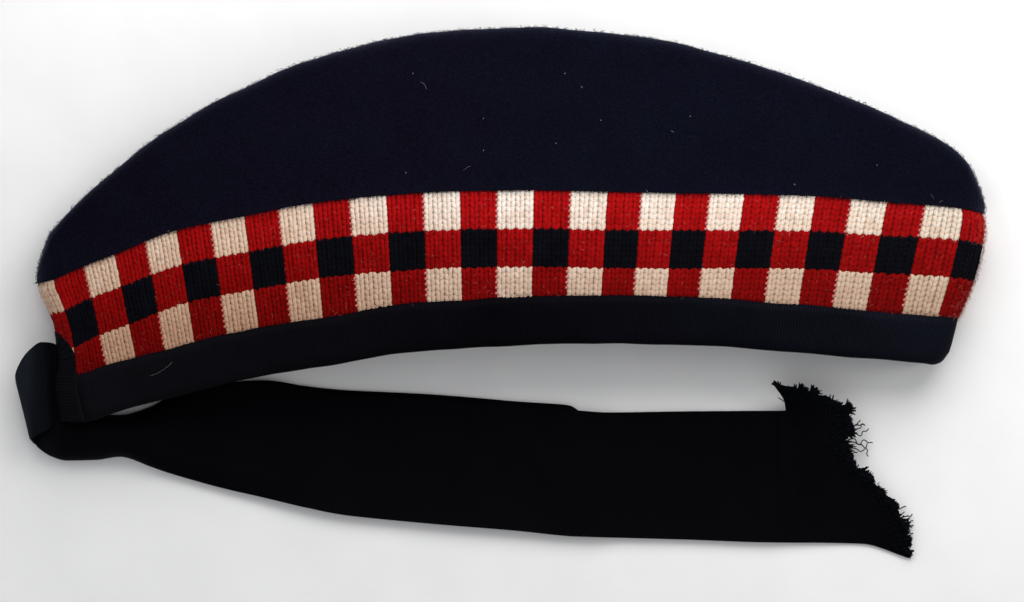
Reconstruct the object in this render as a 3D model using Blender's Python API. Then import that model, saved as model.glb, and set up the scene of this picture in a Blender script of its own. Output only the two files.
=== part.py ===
"""Glengarry cap lying on its left side, in metres.

+X runs from the back of the cap to its front, +Y from the rim up to the ridge, +Z up from the table.
The origin is under the middle of the whole cap, on the table.

The cap is a flattened bag. A place on it is given by
  station  0 to 1 along the cap, between the centres of its two end folds
  angle    90 degrees on the upper side, -90 on the side that lies down, and between them round a fold
  rise     distance up the side from the seam between band and crown, negative towards the rim
  depth    distance in from the outer surface
"""

import math
from collections import namedtuple

import bmesh
import bpy
import numpy as np

# The cap's outline, lying flat
CAP_LENGTH = 0.3034
SEAM_ARCH = 0.0299
SIDE_FAN = math.radians(14.3)
BAND_HEIGHT = 0.0347
CROWN_HEIGHT = 0.0519
RIM_SETBACK = 0.0040

# Its thickness: walls, and the gaps between them
CROWN_WALL = 0.0026
BAND_WALL = 0.0030
BOUND_WALL = 0.0020
FOLD_GAP = 0.0068
RIM_GAP = 0.0165
CROWN_PUFF = 0.0030

# The crown's inward fold
TUCK_DEPTH = 0.0400
TUCK_TAPER = 1.3
ROLL_GAP = 0.0040
VALLEY_GAP = 0.0040

# Ribbon over the edges
BINDING_WIDTH = 0.0155
BINDING_INNER_WIDTH = 0.0120
BINDING_WALL = 0.0010
SLIT_HEIGHT = 0.0240
SLIT_GAP = 0.0052
SLIT_BINDING_WIDTH = 0.0060
KNIT_EASE = 0.0010

# The two tails
TAIL_WIDTH = 0.0408
TAIL_LENGTH = 0.2714
TAIL_WALL = 0.0010
CURL_HEIGHT = 0.0085
LOWER_TAIL_LENGTH = 0.1290
PLY_RAMP = 0.0120

CLEARANCE = 0.0003
WELD_DISTANCE = 0.000001

# What follows from the sizes above
SIDE_HEIGHT = BAND_HEIGHT + BINDING_WIDTH
COVER = BINDING_WALL + CLEARANCE
RIM_STACK = 2 * COVER + BOUND_WALL
FOLD_RADIUS = RIM_STACK + FOLD_GAP / 2
FOLD_THICKNESS = 2 * FOLD_RADIUS
RIM_THICKNESS = 2 * RIM_STACK + RIM_GAP
RIDGE_THICKNESS = 4 * CROWN_WALL + 2 * ROLL_GAP + VALLEY_GAP
SLIT_EDGE = SLIT_GAP / 2 + COVER

# Sections across the cap, back to front: where each stands, in shares of CAP_LENGTH (along),
# SEAM_ARCH (arch), SIDE_FAN (fan), SIDE_HEIGHT (side) and CROWN_HEIGHT (crown)
Section = namedtuple("Section", "along arch fan side crown")
SECTIONS = (
    Section(0.000, 0.000, 0.70, 0.912, 0.090),
    Section(0.017, 0.043, 0.98, 0.940, 0.300),
    Section(0.046, 0.171, 0.91, 0.955, 0.410),
    Section(0.082, 0.310, 0.81, 0.979, 0.512),
    Section(0.148, 0.567, 0.64, 1.032, 0.654),
    Section(0.219, 0.717, 0.51, 1.027, 0.790),
    Section(0.291, 0.856, 0.36, 1.045, 0.883),
    Section(0.370, 0.941, 0.22, 1.015, 0.954),
    Section(0.446, 0.984, 0.07, 1.006, 0.985),
    Section(0.525, 0.995, -0.08, 0.987, 1.000),
    Section(0.601, 0.977, -0.24, 0.972, 0.977),
    Section(0.674, 0.963, -0.37, 0.971, 0.920),
    Section(0.745, 0.952, -0.51, 0.982, 0.815),
    Section(0.820, 0.930, -0.64, 1.010, 0.676),
    Section(0.896, 0.866, -0.78, 1.013, 0.540),
    Section(0.954, 0.824, -0.90, 1.019, 0.389),
    Section(0.981, 0.791, -0.95, 1.013, 0.284),
    Section(1.000, 0.749, -1.00, 1.006, 0.110),
)

# Sections across the upper tail, root to tip, from the back corner of the rim: x in shares of
# TAIL_LENGTH and y in shares of TAIL_WIDTH for its two edges, height in shares of FOLD_THICKNESS
# and curl in shares of CURL_HEIGHT
TailSection = namedtuple("TailSection", "top_x top_y low_x low_y top_z low_z curl")
UPPER_TAIL = (
    TailSection(0.006, 0.40, 0.008, 0.05, 0.47, 0.47, 0.00),
    TailSection(-0.012, 0.42, -0.004, 0.04, 0.47, 0.47, 0.00),
    TailSection(-0.026, 0.56, -0.018, 0.02, 0.56, 0.56, 0.00),
    TailSection(-0.039, 0.56, -0.032, 0.00, 0.68, 0.68, 0.06),
    TailSection(-0.048, 0.45, -0.043, -0.01, 0.62, 0.62, 0.08),
    TailSection(-0.052, 0.36, -0.045, -0.03, 0.40, 0.40, 0.04),
    TailSection(-0.049, 0.26, -0.039, -0.09, 0.17, 0.17, 0.04),
    TailSection(-0.037, 0.16, -0.028, -0.17, 0.00, 0.00, 0.15),
    TailSection(-0.020, 0.05, -0.012, -0.25, 0.00, 0.00, 0.60),
    TailSection(0.004, -0.03, 0.006, -0.285, 0.00, 0.00, 0.85),
    TailSection(0.037, -0.02, 0.039, -0.280, 0.00, 0.00, 1.00),
    TailSection(0.068, 0.035, 0.068, -0.250, 0.00, 0.00, 1.00),
    TailSection(0.104, 0.105, 0.103, -0.33, 0.00, 0.00, 0.72),
    TailSection(0.123, 0.145, 0.120, -0.37, 0.00, 0.00, 0.52),
    TailSection(0.184, 0.31, 0.182, -0.49, 0.00, 0.00, 0.25),
    TailSection(0.237, 0.335, 0.235, -0.575, 0.00, 0.00, 0.10),
    TailSection(0.287, 0.27, 0.287, -0.66, 0.00, 0.00, 0.05),
    TailSection(0.329, 0.235, 0.329, -0.715, 0.00, 0.00, 0.03),
    TailSection(0.432, 0.195, 0.432, -0.785, 0.00, 0.00, 0.02),
    TailSection(0.533, 0.140, 0.533, -0.840, 0.00, 0.00, 0.02),
    TailSection(0.607, 0.102, 0.603, -0.886, 0.00, 0.00, 0.02),
    TailSection(0.649, 0.086, 0.641, -0.894, 0.00, 0.00, 0.02),
    TailSection(0.730, 0.094, 0.730, -0.910, 0.00, 0.00, 0.02),
    TailSection(0.813, 0.098, 0.824, -0.933, 0.00, 0.00, 0.03),
    TailSection(0.851, 0.149, 0.895, -0.937, 0.18, 0.00, 0.00),
    TailSection(0.866, 0.258, 0.945, -0.945, 0.42, 0.00, 0.00),
    TailSection(0.879, 0.262, 1.000, -1.059, 0.50, 0.00, 0.00),
)

# The same for the lower tail, its x in shares of LOWER_TAIL_LENGTH from its own root
LOWER_ROOT = 0.138
LOWER_TAIL = (
    TailSection(0.000, 0.170, 0.000, -0.24, 0.00, 0.00, 0.00),
    TailSection(0.097, 0.270, 0.089, -0.39, 0.00, 0.00, 0.00),
    TailSection(0.209, 0.339, 0.199, -0.52, 0.00, 0.00, 0.00),
    TailSection(0.313, 0.294, 0.313, -0.61, 0.00, 0.00, 0.00),
    TailSection(0.402, 0.264, 0.402, -0.67, 0.00, 0.00, 0.00),
    TailSection(0.618, 0.230, 0.618, -0.74, 0.00, 0.00, 0.00),
    TailSection(0.831, 0.175, 0.800, -0.79, 0.00, 0.00, 0.00),
    TailSection(1.000, 0.127, 0.900, -0.81, 0.00, 0.00, 0.00),
)

# How finely the surfaces are drawn
STATIONS = 25
END_PACKING = 0.6
FOLD_STEPS = 6
SIDE_STEPS = 5
BAND_STEPS = 2
ROLL_STEPS = 4
TUCK_STEPS = 4
KEEL_STEPS = 3
SLIT_TURN_STEPS = 6
TAIL_STEPS = 3
TAIL_ACROSS = 8

Loop = namedtuple("Loop", "station angle end")


def curve_through(at, values, wanted):
    """A smooth curve through the given points that never overshoots them: cubic pieces whose slope
    at each point is the harmonic mean of the slopes on its two sides, and zero at a turn."""
    at, values, wanted = (np.asarray(each, float) for each in (at, values, wanted))
    gap = np.diff(at)
    slope = np.diff(values) / gap
    before, after = slope[:-1], slope[1:]
    same_way = before * after > 0
    total = np.where(same_way, before + after, 1)
    inner = np.where(same_way, 2 * before * after / total, 0)
    ends = np.concatenate([slope[:1], inner, slope[-1:]])
    piece = np.clip(np.searchsorted(at, wanted, side="right") - 1, 0, len(gap) - 1)
    t = np.clip((wanted - at[piece]) / gap[piece], 0, 1)
    return (
        values[piece] * (1 + 2 * t) * (1 - t) ** 2
        + values[piece + 1] * t**2 * (3 - 2 * t)
        + gap[piece] * t * (1 - t) * (ends[piece] * (1 - t) - ends[piece + 1] * t)
    )


def of_section(name, share):
    """One column of SECTIONS, read at shares of the cap's length."""
    along = [section.along for section in SECTIONS]
    return curve_through(along, [getattr(section, name) for section in SECTIONS], share)


def swell(station):
    """How open the cap is: 0 at the end folds, 1 at mid-length."""
    return np.sin(np.pi * station)


def ridge_thickness(station):
    return FOLD_THICKNESS + (RIDGE_THICKNESS - FOLD_THICKNESS) * swell(station)


def gap_scale(station):
    """What the folds' width leaves of ROLL_GAP and VALLEY_GAP at a station."""
    return (ridge_thickness(station) - 4 * CROWN_WALL) / (2 * ROLL_GAP + VALLEY_GAP)


def roll_of(station):
    """The ridge's roll: how far its middle line is from the mid-plane, and its radius."""
    outer = (ridge_thickness(station) - CROWN_WALL) / 2
    tucked = (VALLEY_GAP * gap_scale(station) + CROWN_WALL) / 2
    return (outer + tucked) / 2, (outer - tucked) / 2


def roll_base(station, share):
    """The rise at which the crown's side starts to roll over."""
    return CROWN_HEIGHT * of_section("crown", share) - CROWN_WALL / 2 - roll_of(station)[1]


def keel_rise(station, share):
    """The rise of the keel, where the tuck turns: TUCK_DEPTH below the roll at mid-length, and
    coming up to it at the ends as a power of a sine."""
    return roll_base(station, share) - TUCK_DEPTH * np.sin(np.pi * share) ** TUCK_TAPER


def thickness(station, share, rise):
    """The cap's outer thickness: from the rim's to the ridge's, with the crown's puff between."""
    side = SIDE_HEIGHT * of_section("side", share)
    level = np.clip((rise + side) / (side + roll_base(station, share)), 0, 1)
    ease = level**2 * (3 - 2 * level)
    rim_gain = RIM_THICKNESS - FOLD_THICKNESS
    ridge_gain = RIDGE_THICKNESS - FOLD_THICKNESS
    gain = rim_gain + (ridge_gain - rim_gain) * ease + CROWN_PUFF * np.sin(np.pi * level)
    return FOLD_THICKNESS + gain * swell(station)


def share_of(loop, fold_radius):
    """The share of the cap's length at which each point of a loop stands."""
    straight = CAP_LENGTH - 2 * FOLD_RADIUS
    run = FOLD_RADIUS + loop.station * straight + loop.end * fold_radius * np.cos(loop.angle)
    return run / CAP_LENGTH


def laid(loop, share, rise, half):
    """Points at a rise and at half a thickness from the mid-plane. The band's part of a section
    leans with the fan and the crown's part stands along +Y. The lower side's rim is set back, most
    at mid-length, and not at all at the end folds and the ridge."""
    mid = thickness(loop.station, share, rise) / 2
    height = half * np.sin(loop.angle)
    fade = np.clip(1 - rise / np.maximum(roll_base(loop.station, share), CLEARANCE), 0, 1)
    back = RIM_SETBACK * swell(loop.station) * np.clip(-height / mid, 0, 1) * fade
    lean = np.where(rise < 0, SIDE_FAN * of_section("fan", share), 0)
    x = CAP_LENGTH * share - rise * np.sin(lean)
    y = SEAM_ARCH * of_section("arch", share) + rise * np.cos(lean) + back
    return np.stack([x, y, mid + height], axis=1)


def at_depth(loop, rise_at, depth):
    """A loop at a depth, or several depths. rise_at gives the rise for shares of the length."""
    share = share_of(loop, FOLD_RADIUS - depth)
    rise = rise_at(share)
    return laid(loop, share, rise, thickness(loop.station, share, rise) / 2 - depth)


def above_rim(height):
    """The rise of a line that runs at a height above the rim."""
    return lambda share: height - SIDE_HEIGHT * of_section("side", share)


def loop_round(back_angles, front_angles):
    """A loop from the back fold over the upper side, round the front and back along the lower
    side. Each list holds a fold's angles from the upper side to the lower, without 90 and -90."""
    even = np.linspace(0, 1, STATIONS)
    stations = even - END_PACKING * np.sin(2 * np.pi * even) / (2 * np.pi)
    rising = [angle for angle in reversed(back_angles) if angle >= 0]
    falling = [angle for angle in reversed(back_angles) if angle < 0]
    quarter = np.full(STATIONS, math.pi / 2)
    angle = np.concatenate([rising, quarter, front_angles, -quarter, falling])
    fronts = np.ones(len(front_angles))
    backs = [np.zeros(len(rising)), np.zeros(len(falling))]
    station = np.concatenate([backs[0], stations, fronts, stations[::-1], backs[1]])
    return Loop(station, angle, np.where(station < 0.5, -1.0, 1.0))


def even_fold():
    """A fold's angles between its two sides, evenly spread."""
    return [math.pi * (0.5 - step / FOLD_STEPS) for step in range(1, FOLD_STEPS)]


def slit_angles():
    """The angles round the back fold of the slit's edge, and of where its binding's cover ends."""
    edge = SLIT_EDGE / FOLD_RADIUS
    covered = (SLIT_EDGE + SLIT_BINDING_WIDTH + CLEARANCE) / FOLD_RADIUS
    eased = covered + KNIT_EASE / FOLD_RADIUS
    return edge, covered, eased


def cap_loop():
    """The loop that crown and band share, so that their faces meet all round the seam."""
    edge, covered, eased = slit_angles()
    return loop_round([eased, covered, edge, 0, -edge, -covered, -eased], even_fold())


def wall_faces(rows, columns, kept, round_closed, zipped):
    """Faces of a wall between an outer and an inner grid, with its edges closed where a kept cell
    has no neighbour. A zipped wall's last row is closed by its own two halves instead."""
    across = columns if round_closed else columns - 1

    def outer(row, column):
        return row * columns + column % columns

    def inner(row, column):
        return rows * columns + outer(row, column)

    def filled(row, column):
        if round_closed:
            column %= columns
        return 0 <= row < rows - 1 and 0 <= column < across and kept[row][column]

    faces = []
    for row in range(rows - 1):
        for column in range(across):
            if not filled(row, column):
                continue
            corners = [(row, column), (row, column + 1), (row + 1, column + 1), (row + 1, column)]
            faces.append([outer(*corner) for corner in corners])
            faces.append([inner(*corner) for corner in reversed(corners)])
            beyond = [(row - 1, column), (row, column + 1), (row + 1, column), (row, column - 1)]
            for side, neighbour in enumerate(beyond):
                if filled(*neighbour) or (zipped and neighbour[0] == rows - 1):
                    continue
                start, stop = corners[side], corners[(side + 1) % 4]
                faces.append([outer(*stop), outer(*start), inner(*start), inner(*stop)])
    return faces


def wall_object(name, material, outer, inner, kept=None, round_closed=False, zipped=False):
    """An object whose wall lies between two grids of points, rows by columns by 3."""
    rows, columns = outer.shape[:2]
    if kept is None:
        kept = np.ones((rows, columns), bool)
    mesh = bpy.data.meshes.new(name)
    points = np.concatenate([outer.reshape(-1, 3), inner.reshape(-1, 3)])
    mesh.from_pydata(points.tolist(), [], wall_faces(rows, columns, kept, round_closed, zipped))
    body = bmesh.new()
    body.from_mesh(mesh)
    bmesh.ops.remove_doubles(body, verts=body.verts, dist=WELD_DISTANCE)
    bmesh.ops.delete(body, geom=[vert for vert in body.verts if not vert.link_faces], context="VERTS")
    bmesh.ops.triangulate(body, faces=body.faces)
    bmesh.ops.recalc_face_normals(body, faces=body.faces)
    body.to_mesh(mesh)
    body.free()
    mesh.shade_smooth()
    mesh.materials.append(material)
    thing = bpy.data.objects.new(name, mesh)
    bpy.context.scene.collection.objects.link(thing)
    return thing


def cloth(name, color, roughness):
    material = bpy.data.materials.new(name)
    material.use_nodes = True
    shader = material.node_tree.nodes["Principled BSDF"]
    shader.inputs["Base Color"].default_value = (*color, 1)
    shader.inputs["Roughness"].default_value = roughness
    shader.inputs["Metallic"].default_value = 0
    return material


def crown_rings(loop, skin):
    """Loops from the crown's lower edge up its side, over the ridge and down the tuck to the keel.
    skin is +1 for the outer surface and -1 for the inner one."""
    outward = skin * CROWN_WALL / 2
    depth = CROWN_WALL / 2 - outward
    rings = []
    for step in range(SIDE_STEPS + 1):

        def side_rise(share, part=step / SIDE_STEPS):
            return CLEARANCE / 2 + (roll_base(loop.station, share) - CLEARANCE / 2) * part

        rings.append(at_depth(loop, side_rise, depth))
    middle, radius = roll_of(loop.station)
    for step in range(1, ROLL_STEPS + 1):
        turn = math.pi * step / ROLL_STEPS
        half = middle + (radius + outward) * math.cos(turn)
        share = share_of(loop, half)
        rise = roll_base(loop.station, share) + (radius + outward) * math.sin(turn)
        rings.append(laid(loop, share, rise, half))
    half = VALLEY_GAP * gap_scale(loop.station) / 2 + CROWN_WALL / 2 - outward
    share = share_of(loop, half)
    roll, keel = roll_base(loop.station, share), keel_rise(loop.station, share)
    for step in range(1, TUCK_STEPS + 1):
        part = step / TUCK_STEPS
        rings.append(laid(loop, share, roll * (1 - part) + keel * part, half))
    for step in range(1, KEEL_STEPS + 1):
        turn = math.pi / 2 * step / KEEL_STEPS
        narrow = half * (math.cos(turn) if step < KEEL_STEPS else 0)
        share = share_of(loop, narrow)
        rings.append(laid(loop, share, keel_rise(loop.station, share) - half * math.sin(turn), narrow))
    return np.array(rings)


def crown(material):
    loop = cap_loop()
    return wall_object(
        "crown", material, crown_rings(loop, 1), crown_rings(loop, -1), round_closed=True, zipped=True
    )


def diced_band(material):
    """The band, thinner where the ribbon covers it, with the slit cut up its back."""
    covered = slit_angles()[1]
    loop = cap_loop()
    bound = BINDING_WIDTH + CLEARANCE
    slit_bound = SLIT_HEIGHT + SLIT_BINDING_WIDTH + CLEARANCE
    heights = [COVER, bound / 2, bound, bound + KNIT_EASE, SLIT_HEIGHT, slit_bound, slit_bound + KNIT_EASE]
    at_back = (loop.end < 0) & (np.abs(loop.angle) <= covered + CLEARANCE)
    after_slit_middle = (loop.end < 0) & (loop.angle == 0)
    in_slit = after_slit_middle | np.roll(after_slit_middle, -1)

    def row(rise_at, rim_bound, slit_row):
        cover = np.where(rim_bound | (slit_row & at_back), COVER, 0.0)
        inside = np.where(cover > 0, COVER + BOUND_WALL, BAND_WALL)
        return at_depth(loop, rise_at, cover), at_depth(loop, rise_at, inside)

    rows = [row(above_rim(height), height <= bound, height <= slit_bound) for height in heights]
    for step in range(1, BAND_STEPS + 1):

        def upper_rise(share, part=step / BAND_STEPS):
            low = above_rim(slit_bound + KNIT_EASE)(share)
            return low + (-CLEARANCE / 2 - low) * part

        rows.append(row(upper_rise, False, False))
    kept = np.ones((len(rows), len(in_slit)), bool)
    kept[: heights.index(SLIT_HEIGHT), in_slit] = False
    outer = np.array([each[0] for each in rows])
    inner = np.array([each[1] for each in rows])
    return wall_object("diced_band", material, outer, inner, kept, round_closed=True)


def binding_profile(outer_width, inner_width):
    """(height from the edge, depth) of a folded ribbon's two skins, from its outer leg's hem round
    the edge to its inner leg's hem."""
    wall, stack = BINDING_WALL, RIM_STACK
    turn = wall * (1 - math.sqrt(0.5))
    outside = [(outer_width, 0), (outer_width / 2, 0), (wall, 0), (turn, turn), (0, wall)]
    outside += [(0, stack - wall), (turn, stack - turn), (wall, stack), (inner_width, stack)]
    inside = [(outer_width, wall), (outer_width / 2, wall)] + 3 * [(wall, wall)]
    inside += 3 * [(wall, stack - wall)] + [(inner_width, stack - wall)]
    return outside, inside


def rim_binding(material):
    """Ribbon over the band's lower edge, from the slit's upper edge round to its lower edge."""
    start = SLIT_GAP / 2 / FOLD_RADIUS
    edge, covered, _ = slit_angles()
    loop = loop_round([covered, edge, start, -start, -edge, -covered], even_fold())
    skins = []
    for skin in binding_profile(BINDING_WIDTH, BINDING_INNER_WIDTH):
        skins.append(np.array([at_depth(loop, above_rim(height), depth) for height, depth in skin]))
    return wall_object("rim_binding", material, *skins)


def slit_binding(material):
    """Ribbon over the slit's edges: up the upper one, round its top and down the lower one."""
    low = BINDING_WIDTH + CLEARANCE
    centre = SLIT_HEIGHT - SLIT_EDGE
    path = [(SLIT_EDGE, low, 1, 0), (SLIT_EDGE, (low + centre) / 2, 1, 0)]
    for step in range(SLIT_TURN_STEPS + 1):
        cos, sin = math.cos(math.pi * step / SLIT_TURN_STEPS), math.sin(math.pi * step / SLIT_TURN_STEPS)
        path.append((SLIT_EDGE * cos, centre + SLIT_EDGE * sin, cos, sin))
    path += [(-SLIT_EDGE, (low + centre) / 2, -1, 0), (-SLIT_EDGE, low, -1, 0)]
    across, height, out_across, out_height = np.array(path).T
    skins = []
    for skin in binding_profile(SLIT_BINDING_WIDTH + COVER, SLIT_BINDING_WIDTH):
        rings = []
        for from_edge, depth in skin:
            out = from_edge - COVER
            angle = (across + out * out_across) / FOLD_RADIUS
            loop = Loop(0 * angle, angle, 0 * angle - 1)
            rise = height + out * out_height
            rings.append(at_depth(loop, above_rim(rise), depth))
        skins.append(np.array(rings))
    return wall_object("slit_binding", material, *skins)


def ply_over(x, start, stop):
    """How far a ribbon is lifted by another that lies under it from start to stop: fully over it
    and for half of PLY_RAMP past its ends, and not at all from PLY_RAMP on."""
    beyond = np.maximum(np.maximum(start - x, x - stop), 0)
    return np.clip(2 * (1 - beyond / PLY_RAMP), 0, 1)


def tail(name, material, sections, root_x, length, under=None):
    """A ribbon through its sections: straight across, or arched as half an ellipse where it curls.
    under gives where another ribbon starts and stops beneath it."""
    foot = at_depth(Loop(np.zeros(1), np.zeros(1), -np.ones(1)), above_rim(0), 0.0)[0]
    rows = np.arange(len(sections))
    fine = np.linspace(0, len(sections) - 1, (len(sections) - 1) * TAIL_STEPS + 1)
    read = {
        column: curve_through(rows, [getattr(section, column) for section in sections], fine)[:, None]
        for column in TailSection._fields
    }
    turn = np.linspace(0, np.pi, TAIL_ACROSS + 1)[None, :]
    part = (1 - np.cos(turn)) / 2
    run = root_x + length * (read["top_x"] * (1 - part) + read["low_x"] * part)
    y = foot[1] + TAIL_WIDTH * (read["top_y"] * (1 - part) + read["low_y"] * part)
    lift = FOLD_THICKNESS * (read["top_z"] * (1 - part) + read["low_z"] * part)
    arch = CURL_HEIGHT * read["curl"] * np.sin(turn)
    ply = (TAIL_WALL + CLEARANCE) * ply_over(run, *under) if under else 0
    middle = np.stack([foot[0] + run, y, TAIL_WALL / 2 + ply + lift + arch], axis=2)
    along, across = np.gradient(middle, axis=0), np.gradient(middle, axis=1)
    normal = np.cross(across, along)
    normal /= np.linalg.norm(normal, axis=2, keepdims=True)
    outer, inner = middle + normal * TAIL_WALL / 2, middle - normal * TAIL_WALL / 2
    for skin in (outer, inner):
        skin[..., 2] = np.maximum(skin[..., 2], 0)
    return wall_object(name, material, outer, inner)


def centre_on_origin(things):
    """Moves the meshes so that the origin is under the middle of the whole, on the table."""
    corners = np.array([vertex.co for thing in things for vertex in thing.data.vertices])
    low, high = corners.min(axis=0), corners.max(axis=0)
    shift = (-(low[0] + high[0]) / 2, -(low[1] + high[1]) / 2, -low[2])
    for thing in things:
        for vertex in thing.data.vertices:
            vertex.co = [value + move for value, move in zip(vertex.co, shift)]


def main():
    for thing in list(bpy.data.objects):
        bpy.data.objects.remove(thing, do_unlink=True)
    milled_wool = cloth("milled wool", (0.005, 0.006, 0.014), 0.95)
    diced_knit = cloth("diced knit", (0.42, 0.05, 0.05), 0.9)
    grosgrain = cloth("grosgrain", (0.004, 0.005, 0.010), 0.7)
    ribbon = cloth("ribbon", (0.003, 0.004, 0.008), 0.6)
    lower_root = LOWER_ROOT * TAIL_LENGTH
    under = (lower_root, lower_root + LOWER_TAIL_LENGTH)
    things = [
        crown(milled_wool),
        diced_band(diced_knit),
        rim_binding(grosgrain),
        slit_binding(grosgrain),
        tail("tail_upper", ribbon, UPPER_TAIL, 0.0, TAIL_LENGTH, under),
        tail("tail_lower", ribbon, LOWER_TAIL, lower_root, LOWER_TAIL_LENGTH),
    ]
    centre_on_origin(things)


main()
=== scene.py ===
"""A glengarry cap laid flat on its left side: milled wool crown, knitted dicing, ribbed ribbon over the
edges and two ribbon tails, seen from straight above. Everything is in metres, in the model's frame.

A place on the cap is given by where it stands round the seam between crown and band (around), how far
up the side it is from that seam (rise, negative towards the rim) and how deep it lies (depth, negative
where it stands proud)."""

import math
from collections import namedtuple

import bpy
import numpy as np
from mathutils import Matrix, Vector


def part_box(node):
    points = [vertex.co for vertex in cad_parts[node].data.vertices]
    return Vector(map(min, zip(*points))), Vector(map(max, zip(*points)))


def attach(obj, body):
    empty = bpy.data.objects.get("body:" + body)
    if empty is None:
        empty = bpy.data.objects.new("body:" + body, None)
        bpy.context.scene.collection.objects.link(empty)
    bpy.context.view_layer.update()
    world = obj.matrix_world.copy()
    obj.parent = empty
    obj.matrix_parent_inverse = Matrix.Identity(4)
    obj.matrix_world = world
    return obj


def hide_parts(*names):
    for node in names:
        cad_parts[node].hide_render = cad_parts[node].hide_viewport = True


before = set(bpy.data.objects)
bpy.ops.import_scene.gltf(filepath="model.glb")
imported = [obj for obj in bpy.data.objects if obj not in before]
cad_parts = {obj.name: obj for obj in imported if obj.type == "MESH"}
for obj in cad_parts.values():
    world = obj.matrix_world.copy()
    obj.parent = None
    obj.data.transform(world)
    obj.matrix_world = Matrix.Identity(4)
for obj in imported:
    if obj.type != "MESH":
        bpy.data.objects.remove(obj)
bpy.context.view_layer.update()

SEED = 1847

# The cap's outline, walls and gaps, as in the model
CAP_LENGTH = 0.3034
SEAM_ARCH = 0.0299
SIDE_FAN = math.radians(14.3)
BAND_HEIGHT = 0.0347
CROWN_HEIGHT = 0.0519
RIM_SETBACK = 0.0040
CROWN_WALL = 0.0026
BAND_WALL = 0.0030
BOUND_WALL = 0.0020
FOLD_GAP = 0.0068
RIM_GAP = 0.0165
CROWN_PUFF = 0.0030
TUCK_DEPTH = 0.0400
TUCK_TAPER = 1.3
ROLL_GAP = 0.0040
VALLEY_GAP = 0.0040
BINDING_WIDTH = 0.0155
BINDING_INNER_WIDTH = 0.0120
BINDING_WALL = 0.0010
SLIT_HEIGHT = 0.0240
SLIT_GAP = 0.0052
SLIT_BINDING_WIDTH = 0.0060
TAIL_WIDTH = 0.0408
TAIL_LENGTH = 0.2714
CURL_HEIGHT = 0.0085
LOWER_TAIL_LENGTH = 0.1290
LOWER_ROOT = 0.138
PLY_RAMP = 0.0120
CLEARANCE = 0.0003

SIDE_HEIGHT = BAND_HEIGHT + BINDING_WIDTH
COVER = BINDING_WALL + CLEARANCE
RIM_STACK = 2 * COVER + BOUND_WALL
FOLD_RADIUS = RIM_STACK + FOLD_GAP / 2
FOLD_THICKNESS = 2 * FOLD_RADIUS
RIM_THICKNESS = 2 * RIM_STACK + RIM_GAP
RIDGE_THICKNESS = 4 * CROWN_WALL + 2 * ROLL_GAP + VALLEY_GAP
SLIT_EDGE = SLIT_GAP / 2 + COVER
SLIT_CENTRE = SLIT_HEIGHT - SLIT_EDGE
SLIT_FOOT = 0.0006
CAP_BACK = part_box("crown")[0]
CAP_ORIGIN = np.array([CAP_BACK.x, CAP_BACK.y - CLEARANCE / 2, 0.0])

# Sections across the cap, back to front, in shares of CAP_LENGTH, SEAM_ARCH, SIDE_FAN, SIDE_HEIGHT
# and CROWN_HEIGHT
Section = namedtuple("Section", "along arch fan side crown")
SECTIONS = [Section(*row) for row in (
    (0, 0, 0.7, 0.912, 0.09), (0.017, 0.043, 0.98, 0.94, 0.3), (0.046, 0.171, 0.91, 0.955, 0.41),
    (0.082, 0.31, 0.81, 0.979, 0.512), (0.148, 0.567, 0.64, 1.032, 0.654),
    (0.219, 0.717, 0.51, 1.027, 0.79), (0.291, 0.856, 0.36, 1.045, 0.883),
    (0.37, 0.941, 0.22, 1.015, 0.954), (0.446, 0.984, 0.07, 1.006, 0.985),
    (0.525, 0.995, -0.08, 0.987, 1), (0.601, 0.977, -0.24, 0.972, 0.977),
    (0.674, 0.963, -0.37, 0.971, 0.92), (0.745, 0.952, -0.51, 0.982, 0.815),
    (0.82, 0.93, -0.64, 1.01, 0.676), (0.896, 0.866, -0.78, 1.013, 0.54),
    (0.954, 0.824, -0.9, 1.019, 0.389), (0.981, 0.791, -0.95, 1.013, 0.284),
    (1, 0.749, -1, 1.006, 0.11),
)]

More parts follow.
